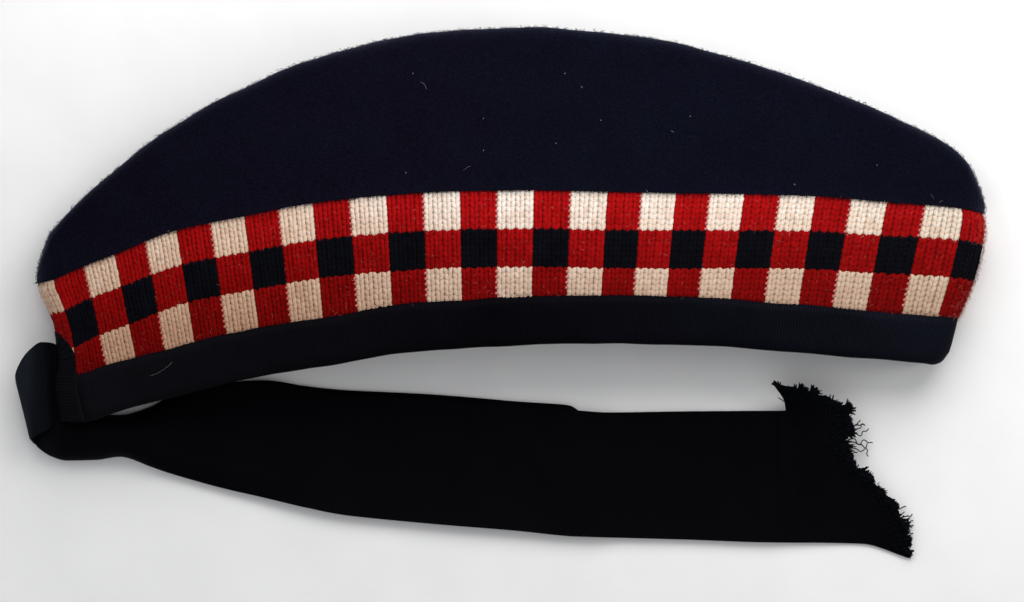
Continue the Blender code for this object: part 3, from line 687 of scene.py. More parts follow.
def finishes():
    """Every finish of the cap, by a short name."""
    return {
        "wool": cloth("milled wool", NAVY_WOOL, 0.014, 0.0007, (0.4, 1.6), 0.95, 0.02, 0.0008, 0.0005,
                      0.08, (0.55, 0.62, 1.0), dirt_dye_and_sheen=DYED),
        # The nap is lighter than the felt: a painted highlight for loose fibres catching the light along the
        # ridge
        "nap": strand("wool nap", (0.003, 0.004, 0.009), (0.008, 0.010, 0.018)),
        "thread": strand("tail thread", (0.0016, 0.0021, 0.0032), (0.0038, 0.0050, 0.0070), (0.7, 1.2),
                         0.8, 0.03),
        "lint": strand("lint", (0.10,) * 3, (0.22,) * 3),
        "cream": yarn("cream yarn", (0.84, 0.74, 0.65), (0.94, 0.87, 0.80), 0.04),
        "red": yarn("red yarn", (0.35, 0.003, 0.004), (0.46, 0.006, 0.008), 0.01),
        "navy": yarn("navy yarn", (0.0016, 0.0021, 0.0046), (0.0032, 0.0042, 0.0090), 0.01, None),
        "pink": yarn("pink yarn", (0.50, 0.13, 0.12), (0.62, 0.24, 0.22), 0.03),
        # The grounds are darker than their yarns: painted shade in the gaps between the stitches
        "cream ground": yarn("cream ground", (0.50, 0.39, 0.31), (0.58, 0.46, 0.38)),
        "red ground": yarn("red ground", (0.18, 0.002, 0.003), (0.23, 0.003, 0.004)),
        "navy ground": yarn("navy ground", (0.0012, 0.0012, 0.0022), (0.0018, 0.0018, 0.0032), dirt_dye_and_sheen=None),
        # The grosgrain's tint along the cap is a painted highlight at its ends
        "grosgrain": ribbon("grosgrain", (0.0018, 0.0018, 0.0032), (0.0026, 0.0027, 0.0048), 0.6, 0.018,
                            0.00006, RIM_END_HIGHLIGHT),
        # The tail ribbon's tint along the cap is a painted sheen on its loop
        "ribbon": ribbon("tail ribbon", (0.0022, 0.0020, 0.0034), (0.0028, 0.0026, 0.0042), 0.7, 0.014,
                         0.00005, LOOP_SHEEN, 0.04, (0.7, 0.85, 1.0), 0.3),
    }


def past_back(around):
    """How far a place is from the middle of the back fold, by the shorter way round."""
    turn = np.mod(around, AROUND)
    return np.minimum(turn, AROUND - turn)


def folds(around):
    """How near a place lies to the middle of the front fold and of the back one: a bell for each."""
    off = np.stack([np.mod(around, AROUND) - FRONT_MIDDLE, past_back(around)])
    return np.exp(-((off / QUARTER) ** 2))


def seam_in(around, rise):
    """How far the seam is drawn in at the two folds: its bells, times a bell of the rise."""
    front, back = folds(around)
    fade = np.where(rise > 0, *SEAM_IN_FADE)
    return (SEAM_IN[1] * back - SEAM_IN[0] * front) * np.exp(-((rise / fade) ** 2))


def band_in(around, rise):
    """How far the band is drawn in at the back fold: a sine of the drop below the seam."""
    drop = np.clip((-rise / BAND_HEIGHT - 0.10) / 0.75, 0, 1)
    return BACK_IN * folds(around)[1] * np.sin(np.pi * drop) ** 0.8


def crown_grid(around, skin):
    """Rows from the crown's lower edge up its side, over the ridge and down the tuck to the keel:
    a side at even rises, a half circle for the roll, a straight tuck and a quarter circle."""
    place = place_at(around)
    outward = skin * CROWN_WALL / 2
    depth = CROWN_WALL / 2 - outward
    side, roll, tuck, keel = (np.linspace(0, 1, count) for count in CROWN_ROWS)
    top, rows = roll_base(place.station, share_of(place, FOLD_RADIUS - depth)), []
    for part in side:
        rise = CLEARANCE / 2 + (top - CLEARANCE / 2) * part
        proud = LIP_PROUD * (1 - part) ** 2 * np.exp(-rise / LIP_FADE) * (skin > 0)
        spot = on_side(around, rise, depth - proud)
        spot[..., 0] += (1 - part) ** 2 * seam_in(around, rise)
        rows.append(spot)
    middle, radius = roll_of(place.station)
    for turn in math.pi * roll[1:]:
        half = middle + (radius + outward) * math.cos(turn)
        share = share_of(place, half)
        rise = roll_base(place.station, share) + (radius + outward) * math.sin(turn)
        rows.append(laid(place, share, rise, half))
    half = VALLEY_GAP * gap_scale(place.station) / 2 + CROWN_WALL / 2 - outward
    share = share_of(place, half)
    high, low = roll_base(place.station, share), keel_rise(place.station, share)
    rows += [laid(place, share, high * (1 - part) + low * part, half) for part in tuck[1:]]
    for part in keel[1:]:
        narrow = half * (math.cos(math.pi / 2 * part) if part < 1 else 0)
        share = share_of(place, narrow)
        rise = keel_rise(place.station, share) - half * math.sin(math.pi / 2 * part)
        rows.append(laid(place, share, rise, narrow))
    return np.array(rows)


def make_crown(rng):
    """The milled crown: its outer skin raised and lowered by slow and short waves, which fade out
    at its lower edge and end at the tuck, and that edge lapped over the knit. Along the keel the
    upper half's points are the lower half's too."""
    here = np.arange(CROWN_COLUMNS)
    around = here * AROUND / CROWN_COLUMNS
    drawn = 1 - np.array(LIP_DRAWN) @ folds(around)
    skins = []
    for lip, skin in ((LIP_OUTER, 1), (LIP_INNER, -1)):
        laps = np.array([on_side(around, rise, -out * drawn) for rise, out in lip])
        laps[..., 0] += [seam_in(around, rise) for rise, _ in lip]
        skins.append(np.concatenate([laps, crown_grid(around, skin)]))
    outer, inner = skins
    row = np.arange(len(outer))
    normals = grid_normals(outer, True)
    fade = np.clip(row / 7, 0.15, 1) * (row <= len(outer) - sum(CROWN_ROWS[2:]))
    soft = sum(high * waves(outer, length, count, rng) for high, length, count in CROWN_WAVES)
    outer = outer + normals * (soft * fade[:, None])[..., None]
    faces, _ = shell_faces(len(outer), CROWN_COLUMNS, closed=True, zipped=True)
    partner = np.minimum(here, -here % CROWN_COLUMNS)
    partner[around[partner] < QUARTER] = 0
    partner[around[partner] > UPPER_END] = np.searchsorted(around, UPPER_END)
    renamed = np.arange(2 * outer.size // 3).reshape(2, len(outer), -1)
    renamed[:, -1] = renamed[:, -1, partner]
    faces = in_triangles(renamed.ravel()[faces])
    piece = make_piece("crown_felt", joined([outer, inner]), faces, "wool", "milled_wool")
    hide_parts("crown")
    return outer, normals, around


def make_nap(outer, normals, around, rng):
    """Loose wool on the crown: hairs spread over its side, ridge and lower edge, most of them on
    the ridge, and a fringe along the lower edge that leans down over the knit."""
    row = np.arange(len(outer))
    weight = np.where(row < 4, 2.5, 0.5) * (row < len(outer) - CROWN_ROWS[3])
    weight = weight[:, None] * (1 + 50 * (1 - np.abs(normals[..., 2])) ** 5)
    spots = scatter(outer, normals, NAP, rng, weight)
    hairs = fibres(*spots, rng, (0.0006, 0.0016), (0.25, 1.10), 0.00008)
    make_piece("crown_nap", *hairs, "nap", "milled_wool")
    pick = rng.integers(0, len(around), SEAM_FUZZ)
    down = unit(outer[0, pick] - outer[4, pick]) + 0.6 * rng.normal(size=(SEAM_FUZZ, 3))
    hairs = fibres(outer[1, pick], normals[2, pick], rng, (0.0005, 0.0015), (0, 0.4), 0.00004, heading=down)
    make_piece("seam_fuzz", *hairs, "nap", "milled_wool")


def make_lint(outer, normals, around, rng):
    """Bits of lint on the crown's upper side: each winds as a sine, and its ends touch the wool."""
    upper = np.s_[: len(LIP_OUTER) + 30, around < FRONT_MIDDLE]
    wool, facing = outer[upper].reshape(-1, 3), normals[upper].reshape(-1, 3)
    spots = np.array(LINT)
    near = np.argmin(((wool[None, :, :2] - spots[:, None, :2]) ** 2).sum(-1), axis=1)
    up = facing[near][:, None]
    t = np.linspace(0, 1, 8)[None, :, None]
    size, turn = spots[:, 2, None, None], rng.uniform(0, np.pi, (len(spots), 1, 1))
    swing = turn + 0.9 * np.sin(3 * t + 2 * turn) * t
    path = np.concatenate([np.cos(swing), np.sin(swing), 0 * swing], -1) * size / 8
    path = wool[near][:, None] + np.cumsum(path, 1) + up * (0.00012 + 0.0002 * np.sin(np.pi * t))
    thick = np.clip(0.00018 - 0.00012 * size[..., 0] / 0.0015, 0.00005, 1) * np.ones((1, 6))
    make_piece("lint", *tubes(path, thick, up, 4), "lint", "milled_wool")


def knit_chart():
    """Wales and the distance round the seam at which each stands: the chart's edges on the upper
    side, then even dice round the front and along the lower side, as many as close the round."""
    around = np.linspace(0, FRONT_MIDDLE, 2000)
    edges, passed = zip(*DICE_EDGES)
    stands = np.interp(edges, share_at(around), around)
    first = -stands[0] / DIE_RUN
    rest = round((AROUND - stands[-1]) / DIE_RUN - first + passed[-1])
    total = 2 * round((rest + first) / 2)
    dice = np.array([first, *passed, first + total])
    return dice * WALES_PER_DIE, np.array([0, *stands, AROUND]), total


def knit_place(wale, course):
    """The distance round and the rise of a point of the knit, from its wale and its course."""
    start, stop = KNIT_WALES[0], KNIT_WALES[-1]
    around = np.interp((wale - start) % (stop - start) + start, KNIT_WALES, KNIT_AROUND)
    share = np.clip(share_at(around), 0, 1)
    return around, COURSE_START - COURSE_DIP * np.sin(np.pi * share) - course * COURSE


def corner_in(around, height):
    """How far the front corner of the rim is drawn in, to round it: as the square of the distance
    below CORNER_HEIGHT."""
    return CORNER_ROUND * folds(around)[0] * np.clip(1 - height / CORNER_HEIGHT, 0, 1) ** 2


def on_knit(around, rise, depth):
    """A point of the knit. At the front fold it stands out by a hump between seam and ribbon, and
    at the back one it is drawn in."""
    spot = on_side(around, rise, depth)
    hump = FRONT_BULGE * folds(around)[0] * np.sin(np.pi * np.clip(-rise / BAND_HEIGHT, 0, 1)) ** 0.8
    spot[..., 0] += hump + seam_in(around, rise) + band_in(around, rise)
    return spot


def dice_color(wale, course):
    """Cream, red or navy: even columns are red, navy, red from the top, and odd ones cream, red,
    cream."""
    row = np.clip(course // COURSES_PER_DIE, 0, 2)
    odd = (wale // WALES_PER_DIE) % 2
    return np.where(row == 1, np.where(odd, RED, NAVY), np.where(odd, CREAM, RED))


def in_slit(around, height, margin):
    """Whether a place lies in the slit at the back, or within a margin of its edge."""
    off = np.hypot(past_back(around), np.maximum(height - SLIT_CENTRE, 0))
    return (off < SLIT_EDGE + margin) & (height < SLIT_HEIGHT + margin)


def make_ground():
    """The knit's ground behind its stitches, coloured as they are but darker, a painted shade in the
    gaps between them: a wall from the seam to the rim, set deeper where ribbon covers it, and open
    at the slit."""
    columns = KNIT_TOTAL * WALES_PER_DIE * 2
    wale = np.arange(columns) / 2
    around, _ = knit_place(wale, 0)
    rows = [0 * wale - CLEARANCE]
    for course in range(1, COURSES + 1):
        rows.append(np.minimum(knit_place(wale, course)[1], -CLEARANCE * (1 + 0.6 * course)))
    foot = COVER - rim_height(around, 0)
    rows += [rows[COURSES] * (1 - part) + foot * part for part in (0.2, 0.4, 0.6, 0.8, 1)]
    rise = np.array(rows)
    height = rim_height(around, rise)
    covered = np.clip((BINDING_WIDTH + 0.0012 - height) / 0.001, 0, 1)
    covered = np.maximum(covered, in_slit(around, height, SLIT_BINDING_WIDTH * 0.8))
    skins = [on_knit(around, rise, bare + (bound - bare) * covered)
             for bare, bound in ((KNIT_DEPTH, COVER), (BAND_WALL, COVER + BOUND_WALL))]
    for skin in skins:
        skin[..., 0] -= corner_in(around, height)
    open_here = in_slit(around, height, 0.0006)
    open_here = open_here | np.roll(open_here, -1, 1)
    faces, cells = shell_faces(len(rows), columns, ~(open_here[:-1] | open_here[1:]), closed=True)
    row, column = np.divmod(cells, columns)
    # Darker towards the rim: partly painted shade where the band turns from the light, partly soil
    shade = 1 - RIM_SHADE_AND_SOIL * np.clip(-rise / BAND_HEIGHT, 0, 1)
    shaded_grounds = [f"{color} ground" for color in COLORS]
    piece = make_piece("knit_ground", joined(skins), faces, shaded_grounds, "diced_knit", [shade, shade],
                       dice_color(column // 2, row))
    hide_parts("diced_band")


def knit_legs():
    """The legs of all stitches, two to each, and which of them show. A leg leans to its side."""
    wale, course, side = (axis.ravel() for axis in np.meshgrid(
        np.arange(KNIT_TOTAL * WALES_PER_DIE), np.arange(-1, COURSES + 2), (-1, 1), indexing="ij"))
    around, rise = knit_place(wale + 0.5 + 0.25 * side, course + 0.3)
    height = rim_height(around, rise)
    bound = in_slit(around, height, SLIT_BINDING_WIDTH - 0.0008)
    seen = (rise < 0.0003) & (height > BINDING_WIDTH - 0.0030) & ~bound
    return Legs(wale, course, side, around, height, seen, dice_color(wale, course.clip(0)))


def make_stitches(legs, rng):
    """The stitches of plain knitting: each is a V whose two legs are plump tubes. A leg runs from
    the V's foot up and outward, lies proud over most of its way and dips under the foot of the
    stitch above. Random draws give each its own place, girth and tone, and its shade is painted:
    darker at a leg's two ends and towards the rim."""
    count = len(legs.wale)
    drift = rng.normal(size=(count, 4)) * (0.020, 0.035, 0.00003, 0.03)
    t = np.linspace(0, 1, 6)
    off = legs.side[:, None] * (0.070 + 0.285 * t**0.85) + drift[:, :1]
    down = 1.16 - 1.92 * t + drift[:, 1:2]
    around, rise = knit_place((legs.wale + 0.5)[:, None] + off, legs.course[:, None] + down)
    tucked = np.clip((BINDING_WIDTH + 0.0003 - rim_height(around, rise)) / 0.0012, 0, 1.3)
    depth = np.interp(t, *LEG_DEPTH) + drift[:, 2:3] + tucked * 0.0011
    path = on_knit(around, rise, depth)
    up = unit(on_knit(around, rise, depth - 0.0005) - path)
    girth = YARN / 2 * np.array([0.70, 0.98, 1.04, 0.90]) * (1 + drift[:, 3:])
    # Each leg is darker at its two ends: painted shade at the V's foot and where it dips under the stitch
    # above
    tone = np.array([0.60, *np.repeat([0.91, 1.0, 0.97, 0.88], YARN_SIDES), 0.68])
    # Darker towards the rim: partly painted shade where the band turns from the light, partly soil
    rim_shade_and_soil = 1 - RIM_SHADE_AND_SOIL * (legs.course[:, None] / COURSES).clip(0, 1)
    tone = (tone * (1 + 0.035 * rng.normal(size=(count, 1))) * rim_shade_and_soil).clip(0.2, 1)
    upper = around[:, 2] < FRONT_MIDDLE
    for kind, color in enumerate(COLORS):
        for half, where in ((upper, "right"), (~upper, "left")):
            chosen = legs.seen & half & (legs.kind == kind)
            stitches = tubes(path[chosen], girth[chosen], up[chosen], YARN_SIDES, 0.33)
            # Red stitches take their painted shade and soil more deeply
            make_piece(f"{color}_stitches_{where}", *stitches, color, "diced_knit",
                       tone[chosen] ** (RED_SHADE_POWER if kind == RED else 1))


def make_pink(legs):
    """A short pale pink tube at each course where red yarn meets cream."""
    chosen = legs.seen & (legs.height > BINDING_WIDTH + 0.0012) & (legs.kind == CREAM)
    chosen = chosen & (legs.wale % WALES_PER_DIE == 0) & (legs.side < 0)
    spot = knit_place(legs.wale[chosen, None] + np.array([0.10, -0.03, -0.10, -0.14]),
                      legs.course[chosen, None] + np.array([0.10, 0.30, 0.50, 0.62]))
    path = on_knit(*spot, np.array([0.0003, -0.00002, 0.00002, 0.0004]))
    up = unit(on_knit(*spot, -0.0006) - path)
    pink = tubes(path, np.full((len(path), 2), 0.00042), up, YARN_SIDES)
    make_piece("pink_stitches", *pink, "pink", "diced_knit", 1)


def make_fuzz(legs, rng):
    """Loose hairs of the yarn, most of them at the front fold: cream and navy in their own colours, and red
    in pink, a painted highlight of hairs catching the light.
    """
    open_knit = np.flatnonzero(legs.seen & (legs.height > BINDING_WIDTH + 0.0008))
    at_front = 1 + 36 * np.exp(-(((legs.around[open_knit] - FRONT_MIDDLE) / QUARTER * 2.5) ** 2))
    pick = rng.choice(open_knit, FUZZ, p=at_front / at_front.sum())
    wale, course = legs.wale[pick] + 0.5 + 0.3 * legs.side[pick], legs.course[pick]
    roots = on_knit(*knit_place(wale, course + rng.random(FUZZ)), -0.0003)
    spot = knit_place(wale, course + 0.5)
    facing = unit(on_knit(*spot, -0.001) - on_knit(*spot, 0))
    for kind, color in enumerate(COLORS):
        chosen = legs.kind[pick] == kind
        hairs = fibres(roots[chosen], facing[chosen], rng, (0.0006, 0.0017), (0.05, 1.2), 0.00005, bend=1)
        # Red hairs take the pink finish: a painted highlight of hairs catching the light
        make_piece(f"{color}_fuzz", *hairs, "pink" if kind == RED else color, "diced_knit", 0.8)


def fold_profile(outer_width, inner_width, rows=(6, 7, 3)):
    """(height from the edge, depth) of a ribbon folded over an edge: its outer leg, half an ellipse
    round the edge and its inner leg; with the same line one ribbon's thickness in from it."""
    turn = np.linspace(0, np.pi, rows[1])
    outer_leg = np.linspace(outer_width, EDGE_ROUND, rows[0])[:-1]
    inner_leg = np.linspace(EDGE_ROUND, inner_width, rows[2])[1:]
    skins = []
    for inset in (0, RIBBON_WALL):
        height = EDGE_ROUND - (EDGE_ROUND - inset) * np.sin(turn)
        depth = RIM_STACK / 2 - (RIM_STACK / 2 - inset) * np.cos(turn)
        height = np.concatenate([outer_leg, height, inner_leg])
        depth = np.concatenate([0 * outer_leg + inset, depth, 0 * inner_leg + RIM_STACK - inset])
        skins.append((height[:, None], depth[:, None]))
    return skins


def painted_groove_shade(along, pitch, deep=0.75):
    """A ribbed ribbon's painted shade: darker in its grooves by a share of one less a rectified sine."""
    return 1 - deep * (1 - np.abs(np.sin(np.pi * along / pitch)) ** 0.8)


def ribs(along, pitch, amount):
    """Rounded ribs of a given pitch: the height of a rectified sine, less its mean."""
    return amount * (np.abs(np.sin(np.pi * along / pitch)) - 0.64) * 2


def make_rim_ribbon(rng):
    """Ribbed ribbon over the band's lower edge, from one side of the slit round to the other. Its
    upper edge wanders a little, its face is slightly wavy, and its front corner is rounded off."""
    around = np.arange(SLIT_GAP / 2, AROUND - SLIT_GAP / 2, RIM_RIB / 3)
    hem = 0.00022 * waves(np.stack([around, 0 * around, 0 * around], -1), 0.014, 9, rng)
    skins = []
    for height, depth in fold_profile(BINDING_WIDTH, BINDING_INNER_WIDTH):
        outside = depth < RIM_STACK / 2
        swayed = height + hem * (np.clip(height / BINDING_WIDTH, 0, 1) * outside) ** 2
        tucked = 0.0002 * np.clip((height - BINDING_WIDTH + 0.0012) / 0.0012, 0, 1) * outside
        spot = by_rim(around, swayed, depth + tucked)
        spot[..., 0] -= corner_in(around, height)
        skins.append(spot)
    skins = raised(skins, ribs(around, RIM_RIB, 0.00009) + 0.0001 * waves(skins[0], 0.012, 8, rng))
    # Painted shade in the ribbon's grooves, deeper towards the front
    shade = painted_groove_shade(around, RIM_RIB, 0.55 + 0.45 * share_at(around))
    piece = make_ribbon("rim_ribbon", skins, shade, "grosgrain", "grosgrain")
    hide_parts("rim_binding")


def make_hair():
    """A pale hair on the rim ribbon, which climbs as a power of the distance."""
    start, length, height, climb = HAIR
    t = np.linspace(0, 1, 12)[None]
    spot = start + length * t, height + climb * t**2.2
    path = by_rim(*spot, -0.0003)
    up = unit(by_rim(*spot, -0.001) - path)
    make_piece("pale_hair", *tubes(path, np.full((1, 10), 0.00004), up, 4), "lint", "grosgrain")


def make_slit_ribbon():
    """The same ribbon over the slit's edges: up the upper one, round its top as half a circle and
    down the lower one. It stands a little wider where the rim's ribbon lies under it."""
    leg, turn = np.linspace(SLIT_FOOT, SLIT_CENTRE, 64)[:-1], np.linspace(0, np.pi, 46)
    out_across = np.concatenate([0 * leg + 1, np.cos(turn), 0 * leg - 1])
    out_height = np.concatenate([0 * leg, np.sin(turn), 0 * leg])
    across = SLIT_EDGE * out_across
    height = np.concatenate([leg, 0 * turn + SLIT_CENTRE, leg[::-1]]) + SLIT_EDGE * out_height
    run = summed(np.hypot(np.diff(across), np.diff(height)))
    over = 0.0008 * np.clip((BINDING_WIDTH + 0.0014 - height) / 0.0060, 0, 1)
    skins = []
    for from_edge, depth in fold_profile(SLIT_BINDING_WIDTH + COVER, SLIT_BINDING_WIDTH, (8, 7, 4)):
        out = from_edge - COVER - over
        depth = depth + over * (2 * depth / RIM_STACK - 1)
        turned, lifted = across + out * out_across, height + out * out_height
        spot = by_rim(turned, lifted, depth - 0.0002)
        spot[..., 0] += band_in(turned, lifted - rim_height(turned, 0))
        skins.append(spot)
    # Painted shade in the ribbon's grooves
    skins, shade = raised(skins, ribs(run, RIM_RIB, 0.00004)), painted_groove_shade(run, RIM_RIB)
    piece = make_ribbon("slit_ribbon", skins, shade, "grosgrain", "grosgrain")
    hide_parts("slit_binding")


def tail_form(sections, root_x, length, under=None, reach=None):
    """A tail's middle surface through its sections, straight across or arched as half an ellipse
    where it curls, in rows at even steps along its middle. Also the distance along the ribbon at
    each point, which at a slanted end is counted along each thread."""
    last = len(sections) - 1
    turn = np.linspace(0, np.pi, TAIL_COLUMNS)
    part = (1 - np.cos(turn)) / 2

    def form(at):
        columns = (curve_through(range(last + 1), column, at)[:, None] for column in zip(*sections))
        read = TailSection(*columns)
        run = root_x + length * (read.top_x * (1 - part) + read.low_x * part)
        y = FOOT[1] + TAIL_WIDTH * (read.top_y * (1 - part) + read.low_y * part)
        lift = FOLD_THICKNESS * (read.top_z * (1 - part) + read.low_z * part)
        if under:
            beyond = np.maximum(np.maximum(under[0] - run, run - under[1]), 0)
            lift = lift + (RIBBON_WALL + 0.0004) * np.clip(2 * (1 - beyond / PLY_RAMP), 0, 1)
        if reach:
            late = np.clip((at - END_SECTION) / (last - END_SECTION), 0, 1)[:, None]
            run = run + TAIL_WIDTH * late**1.5 * np.interp(part, *zip(*reach))
        z = RIBBON_WALL / 2 + lift + CURL_HEIGHT * read.curl * np.sin(turn)
        return np.stack([FOOT[0] + run, y, z], axis=2)

    coarse = np.linspace(0, last, 4000)
    steps = lengths(form(coarse)[:, TAIL_COLUMNS // 2])
    run = summed(steps * np.where(coarse[1:] > END_SECTION, END_DENSITY, 1))
    fine = np.interp(np.linspace(0, run[-1], int(run[-1] / (TAIL_RIB / 3))), run, coarse)
    surface = form(fine)
    along = np.repeat(np.interp(fine, coarse, summed(steps))[:, None], TAIL_COLUMNS, 1)
    if reach:
        first = np.searchsorted(fine, END_SECTION)
        along[first:] = along[first - 1] + np.cumsum(lengths(surface[first - 1 :]), axis=0)
    return surface, along, part


def make_tail(name, node, sections, root_x, length, rng, **form):
    """A ribbon tail: two skins either side of its middle surface. Soft folds spread from where it
    is pinched and fade along it, one edge is lifted, and fine ribs run across it."""
    surface, along, part = tail_form(sections, root_x, length, **form)
    x = (surface[..., 0] - FOOT[0]) / TAIL_LENGTH
    pinched = np.clip((along / along.max() - 0.17) / 0.10, 0, 1) * np.clip((0.42 - x) / 0.30, 0, 1) ** 1.5
    pleats = sum(high * np.cos(2 * np.pi * (turns * part + phase)) for high, turns, phase in PLEATS)
    sway = 0.00035 * waves(surface, 0.07, 6, rng) * np.clip(along / 0.06 - 0.8, 0, 1)
    flat_part = np.clip((x - 0.15) / 0.15, 0, 1) * np.clip((0.93 - x) / 0.1, 0, 1)
    rolled_edge = EDGE_LIFT * np.exp(-(1 - part) / 0.10) * flat_part
    high, place, before, after = CREASE
    crease = high * np.exp(-(((x - place) / np.where(x < place, before, after)) ** 2))
    crease = crease * np.clip(1.6 - 1.8 * part, 0, 1)
    surface[..., 2] += (pinched * pleats + sway).clip(0) + rolled_edge + crease
    normals = grid_normals(surface)
    half = normals * (RIBBON_WALL / 2 + ribs(along, TAIL_RIB, 0.00003))[..., None]
    # Painted shade in the ribbon's grooves
    skins, shade = [surface + half, surface - half], painted_groove_shade(along, TAIL_RIB)
    piece = make_ribbon(name, skins, shade, "ribbon", "tail_ribbon")
    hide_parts(node)
    return piece, surface, normals


def at_cut(surface, values, where):
    """Values of the upper tail's last row, at shares of the length of its cut."""
    steps = lengths(surface[-1])
    share = summed(steps) / steps.sum()
    return np.stack([np.interp(where, share, values[:, axis]) for axis in range(3)], -1)


def make_threads(name, surface, normals, rng, where, back, aim, length, radius, climb, bend):
    """Threads from given shares of the cut, rooted some way back from it: each goes on from the
    warp with its own aim, climbs by its share and bends as the square of the distance."""
    count, length = len(where), length[:, None, None]
    far = unit(at_cut(surface, surface[-1] - surface[-12], where))
    roots = at_cut(surface, surface[-1], where) - far * back[:, None] + rng.normal(size=far.shape) * 0.00012
    up = at_cut(surface, normals[-1], where)
    up = up * np.sign(up[:, 2:])
    roots = roots + up * RIBBON_WALL * rng.uniform(-0.3, 0.7, (count, 1))
    heading = far + aim * (np.minimum(where, 1 - where) / 0.08).clip(0.1, 1)[:, None]
    ahead = unit(heading - (heading * up).sum(1, keepdims=True) * up)[:, None]
    turned = np.cross(up, heading)[:, None] * rng.uniform(-bend, bend, (count, 1, 1))
    ahead = ahead + up[:, None] * rng.uniform(*climb, (count, 1, 1))
    path = roots[:, None] + (ahead * THREAD_STEPS + turned * THREAD_STEPS**2) * length
    path[..., 2] = path[..., 2].clip(THREAD_LOW)
    girth = radius * rng.uniform(0.7, 1.3, (count, 1)) * np.array([1, 1, 0.85])
    return make_piece(name, *tubes(path, girth, up[:, None], 4), "thread", "tail_ribbon")


def make_fray(surface, normals, rng):
    """The tail's cut end, come apart: threads in tufts that go on from its warp, and a pile of
    short ones over the last few millimetres."""
    tail = surface, normals, rng
    tuft = np.repeat(np.arange(TUFTS), TUFT_THREADS)
    centre = (np.arange(TUFTS) + 0.5 + rng.uniform(-0.3, 0.3, TUFTS)) / TUFTS
    notched = np.exp(-(((centre[:, None] - np.array(NOTCHES)) / 0.018) ** 2)).max(1)
    reach = rng.uniform(0.0010, 0.0030, TUFTS) * (1 - 0.9 * notched)
    lean, count = rng.normal(size=(TUFTS, 3)) * (0.12, 0.30, 0.10), len(tuft)
    off = rng.normal(size=count) * 0.0135
    aim = lean[tuft] + rng.normal(size=(count, 3)) * (0.08, 0.28, 0.10)
    length = 0.0015 + reach[tuft] * np.exp(-((off / 0.017) ** 4)) * rng.uniform(0.85, 1.1, count)
    where = (centre[tuft] + off).clip(0.010, 0.972)
    tufts = make_threads("tail_tufts", *tail, where, 0.0014 + 0 * off, aim, length, 0.0002, (-0.05, 0.2), 0.5)
    back = 0.0055 * rng.random(PILE) ** 1.4 + 0.0008
    aim = rng.normal(size=(PILE, 3)) * (0.3, 0.6, 0.1)
    where, length = rng.uniform(0.06, 0.97, PILE), rng.uniform(0.0008, 0.0018, PILE)
    pile = make_threads("tail_pile", *tail, where, back, aim, length, 0.00016, (0.05, 0.4), 0.9)
    return [tufts, pile]


def make_loose_threads(surface, rng):
    """A few long threads at the cut that wind as a sum of sines and sink to the table."""
    where, far, aim = np.array(LOOSE_THREADS).T[..., None]
    t = np.linspace(0, 1, 18)
    first, second, third = rng.uniform(0, 2 * np.pi, (len(where), 3)).T[..., None]
    curl = 1.5 * (far / 0.008).clip(0.2, 1)
    turn = np.radians(aim) + curl * t**0.6 * (0.6 * np.sin(7 * t + first) + 0.7 * np.sin(17 * t + second))
    rise = 0.0010 * np.sin(np.pi * t) * (0.5 + 0.3 * np.sin(7 * t + third))
    x, y = (np.cumsum(way(turn) * far / len(t), 1) for way in (np.cos, np.sin))
    path = np.stack([x, y, rise], -1) + at_cut(surface, surface[-1], where)
    path[..., 2] = (path[..., 2] * (1 - 0.85 * t)).clip(THREAD_LOW)
    loose = tubes(path, np.full((len(path), len(t) - 2), 0.00017), (0, 0, 1), 4)
    return make_piece("tail_threads", *loose, "thread", "tail_ribbon")


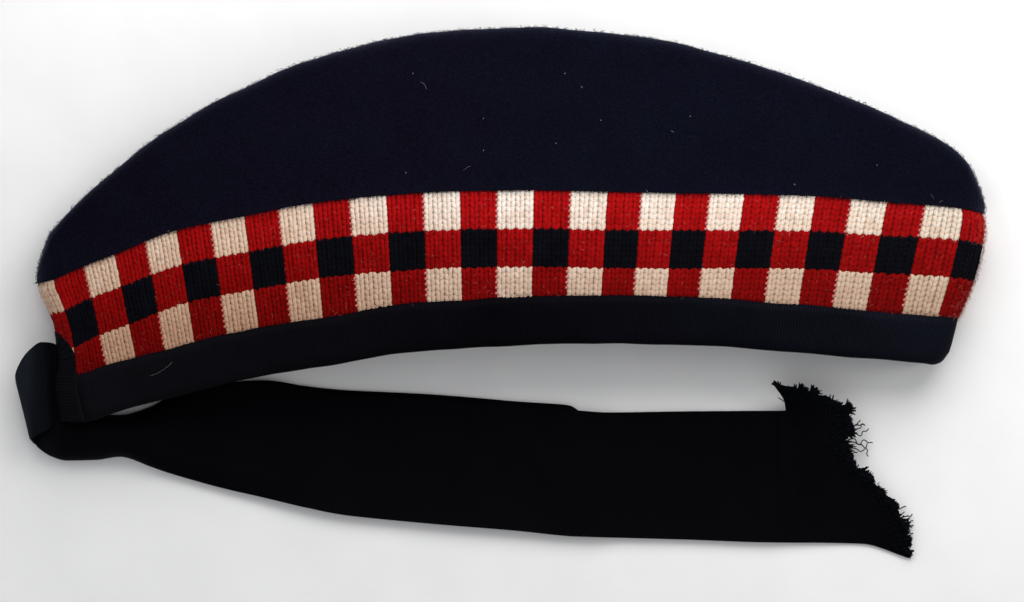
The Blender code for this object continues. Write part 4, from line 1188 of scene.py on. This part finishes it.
def set_up_stage():
    """A pale cloth to lie on, a broad soft light from above the ridge, and a camera straight above."""
    scene, edge = bpy.context.scene, FLOOR_WIDTH / 2
    mesh = bpy.data.meshes.new("floor")
    corners = [(x * edge, y * edge, TABLE) for x, y in ((-1, -1), (1, -1), (1, 1), (-1, 1))]
    mesh.from_pydata(corners, [], [(0, 1, 2, 3)])
    material, tree, shader = new_finish("pale cloth")
    mottled = ramp(tree, noise(tree, 0.03), grey(0.82, 0.87))
    fill(tree, shader, Base_Color=mottled, Roughness=0.9, Specular_IOR_Level=0.1)
    mesh.materials.append(material)
    floor = stand("floor", mesh)
    for name, spot, size, power, color in LIGHTS:
        lamp = bpy.data.lights.new(name, "AREA")
        lamp.shape, lamp.size, lamp.energy, lamp.color = "DISK", size, power, color
        light = stand(name, lamp)
        light.location = spot
        light.rotation_euler = Vector(spot).to_track_quat("Z", "Y").to_euler()
    scene.world = bpy.data.worlds.new("studio")
    scene.world.use_nodes = True
    tree = scene.world.node_tree
    fill(tree, tree.nodes["Background"], Color=(0.97, 0.98, 1.0, 1), Strength=WORLD_LIGHT)
    lens = bpy.data.cameras.new("camera")
    lens.sensor_width, lens.clip_end = 36.0, 20.0
    lens.lens = lens.sensor_width * (CAMERA_DISTANCE - FOLD_RADIUS) / FRAME_WIDTH
    scene.camera = stand("camera", lens)
    scene.camera.location = (*CAMERA_AIM, CAMERA_DISTANCE)
    scene.view_settings.view_transform = "Standard"


def main():
    """The whole cap, piece by piece, then its stage."""
    rng = np.random.default_rng(SEED)
    crown = make_crown(rng)
    make_nap(*crown, rng)
    make_lint(*crown, rng)
    make_ground()
    legs = knit_legs()
    make_stitches(legs, rng)
    make_pink(legs)
    make_fuzz(legs, rng)
    make_rim_ribbon(rng)
    make_hair()
    make_slit_ribbon()
    root = LOWER_ROOT * TAIL_LENGTH
    lower = make_tail("tail_ribbon_lower", "tail_lower", LOWER_TAIL, root, LOWER_TAIL_LENGTH, rng)[0]
    upper, surface, normals = make_tail(
        "tail_ribbon_upper", "tail_upper", UPPER_TAIL, 0, TAIL_LENGTH, rng,
        under=(root, root + LOWER_TAIL_LENGTH), reach=END_REACH)
    fray = [*make_fray(surface, normals, rng), make_loose_threads(surface, rng)]
    set_up_stage()


FINISHES = finishes()
FOOT = by_rim(0, 0, 0)
KNIT_WALES, KNIT_AROUND, KNIT_TOTAL = knit_chart()
main()
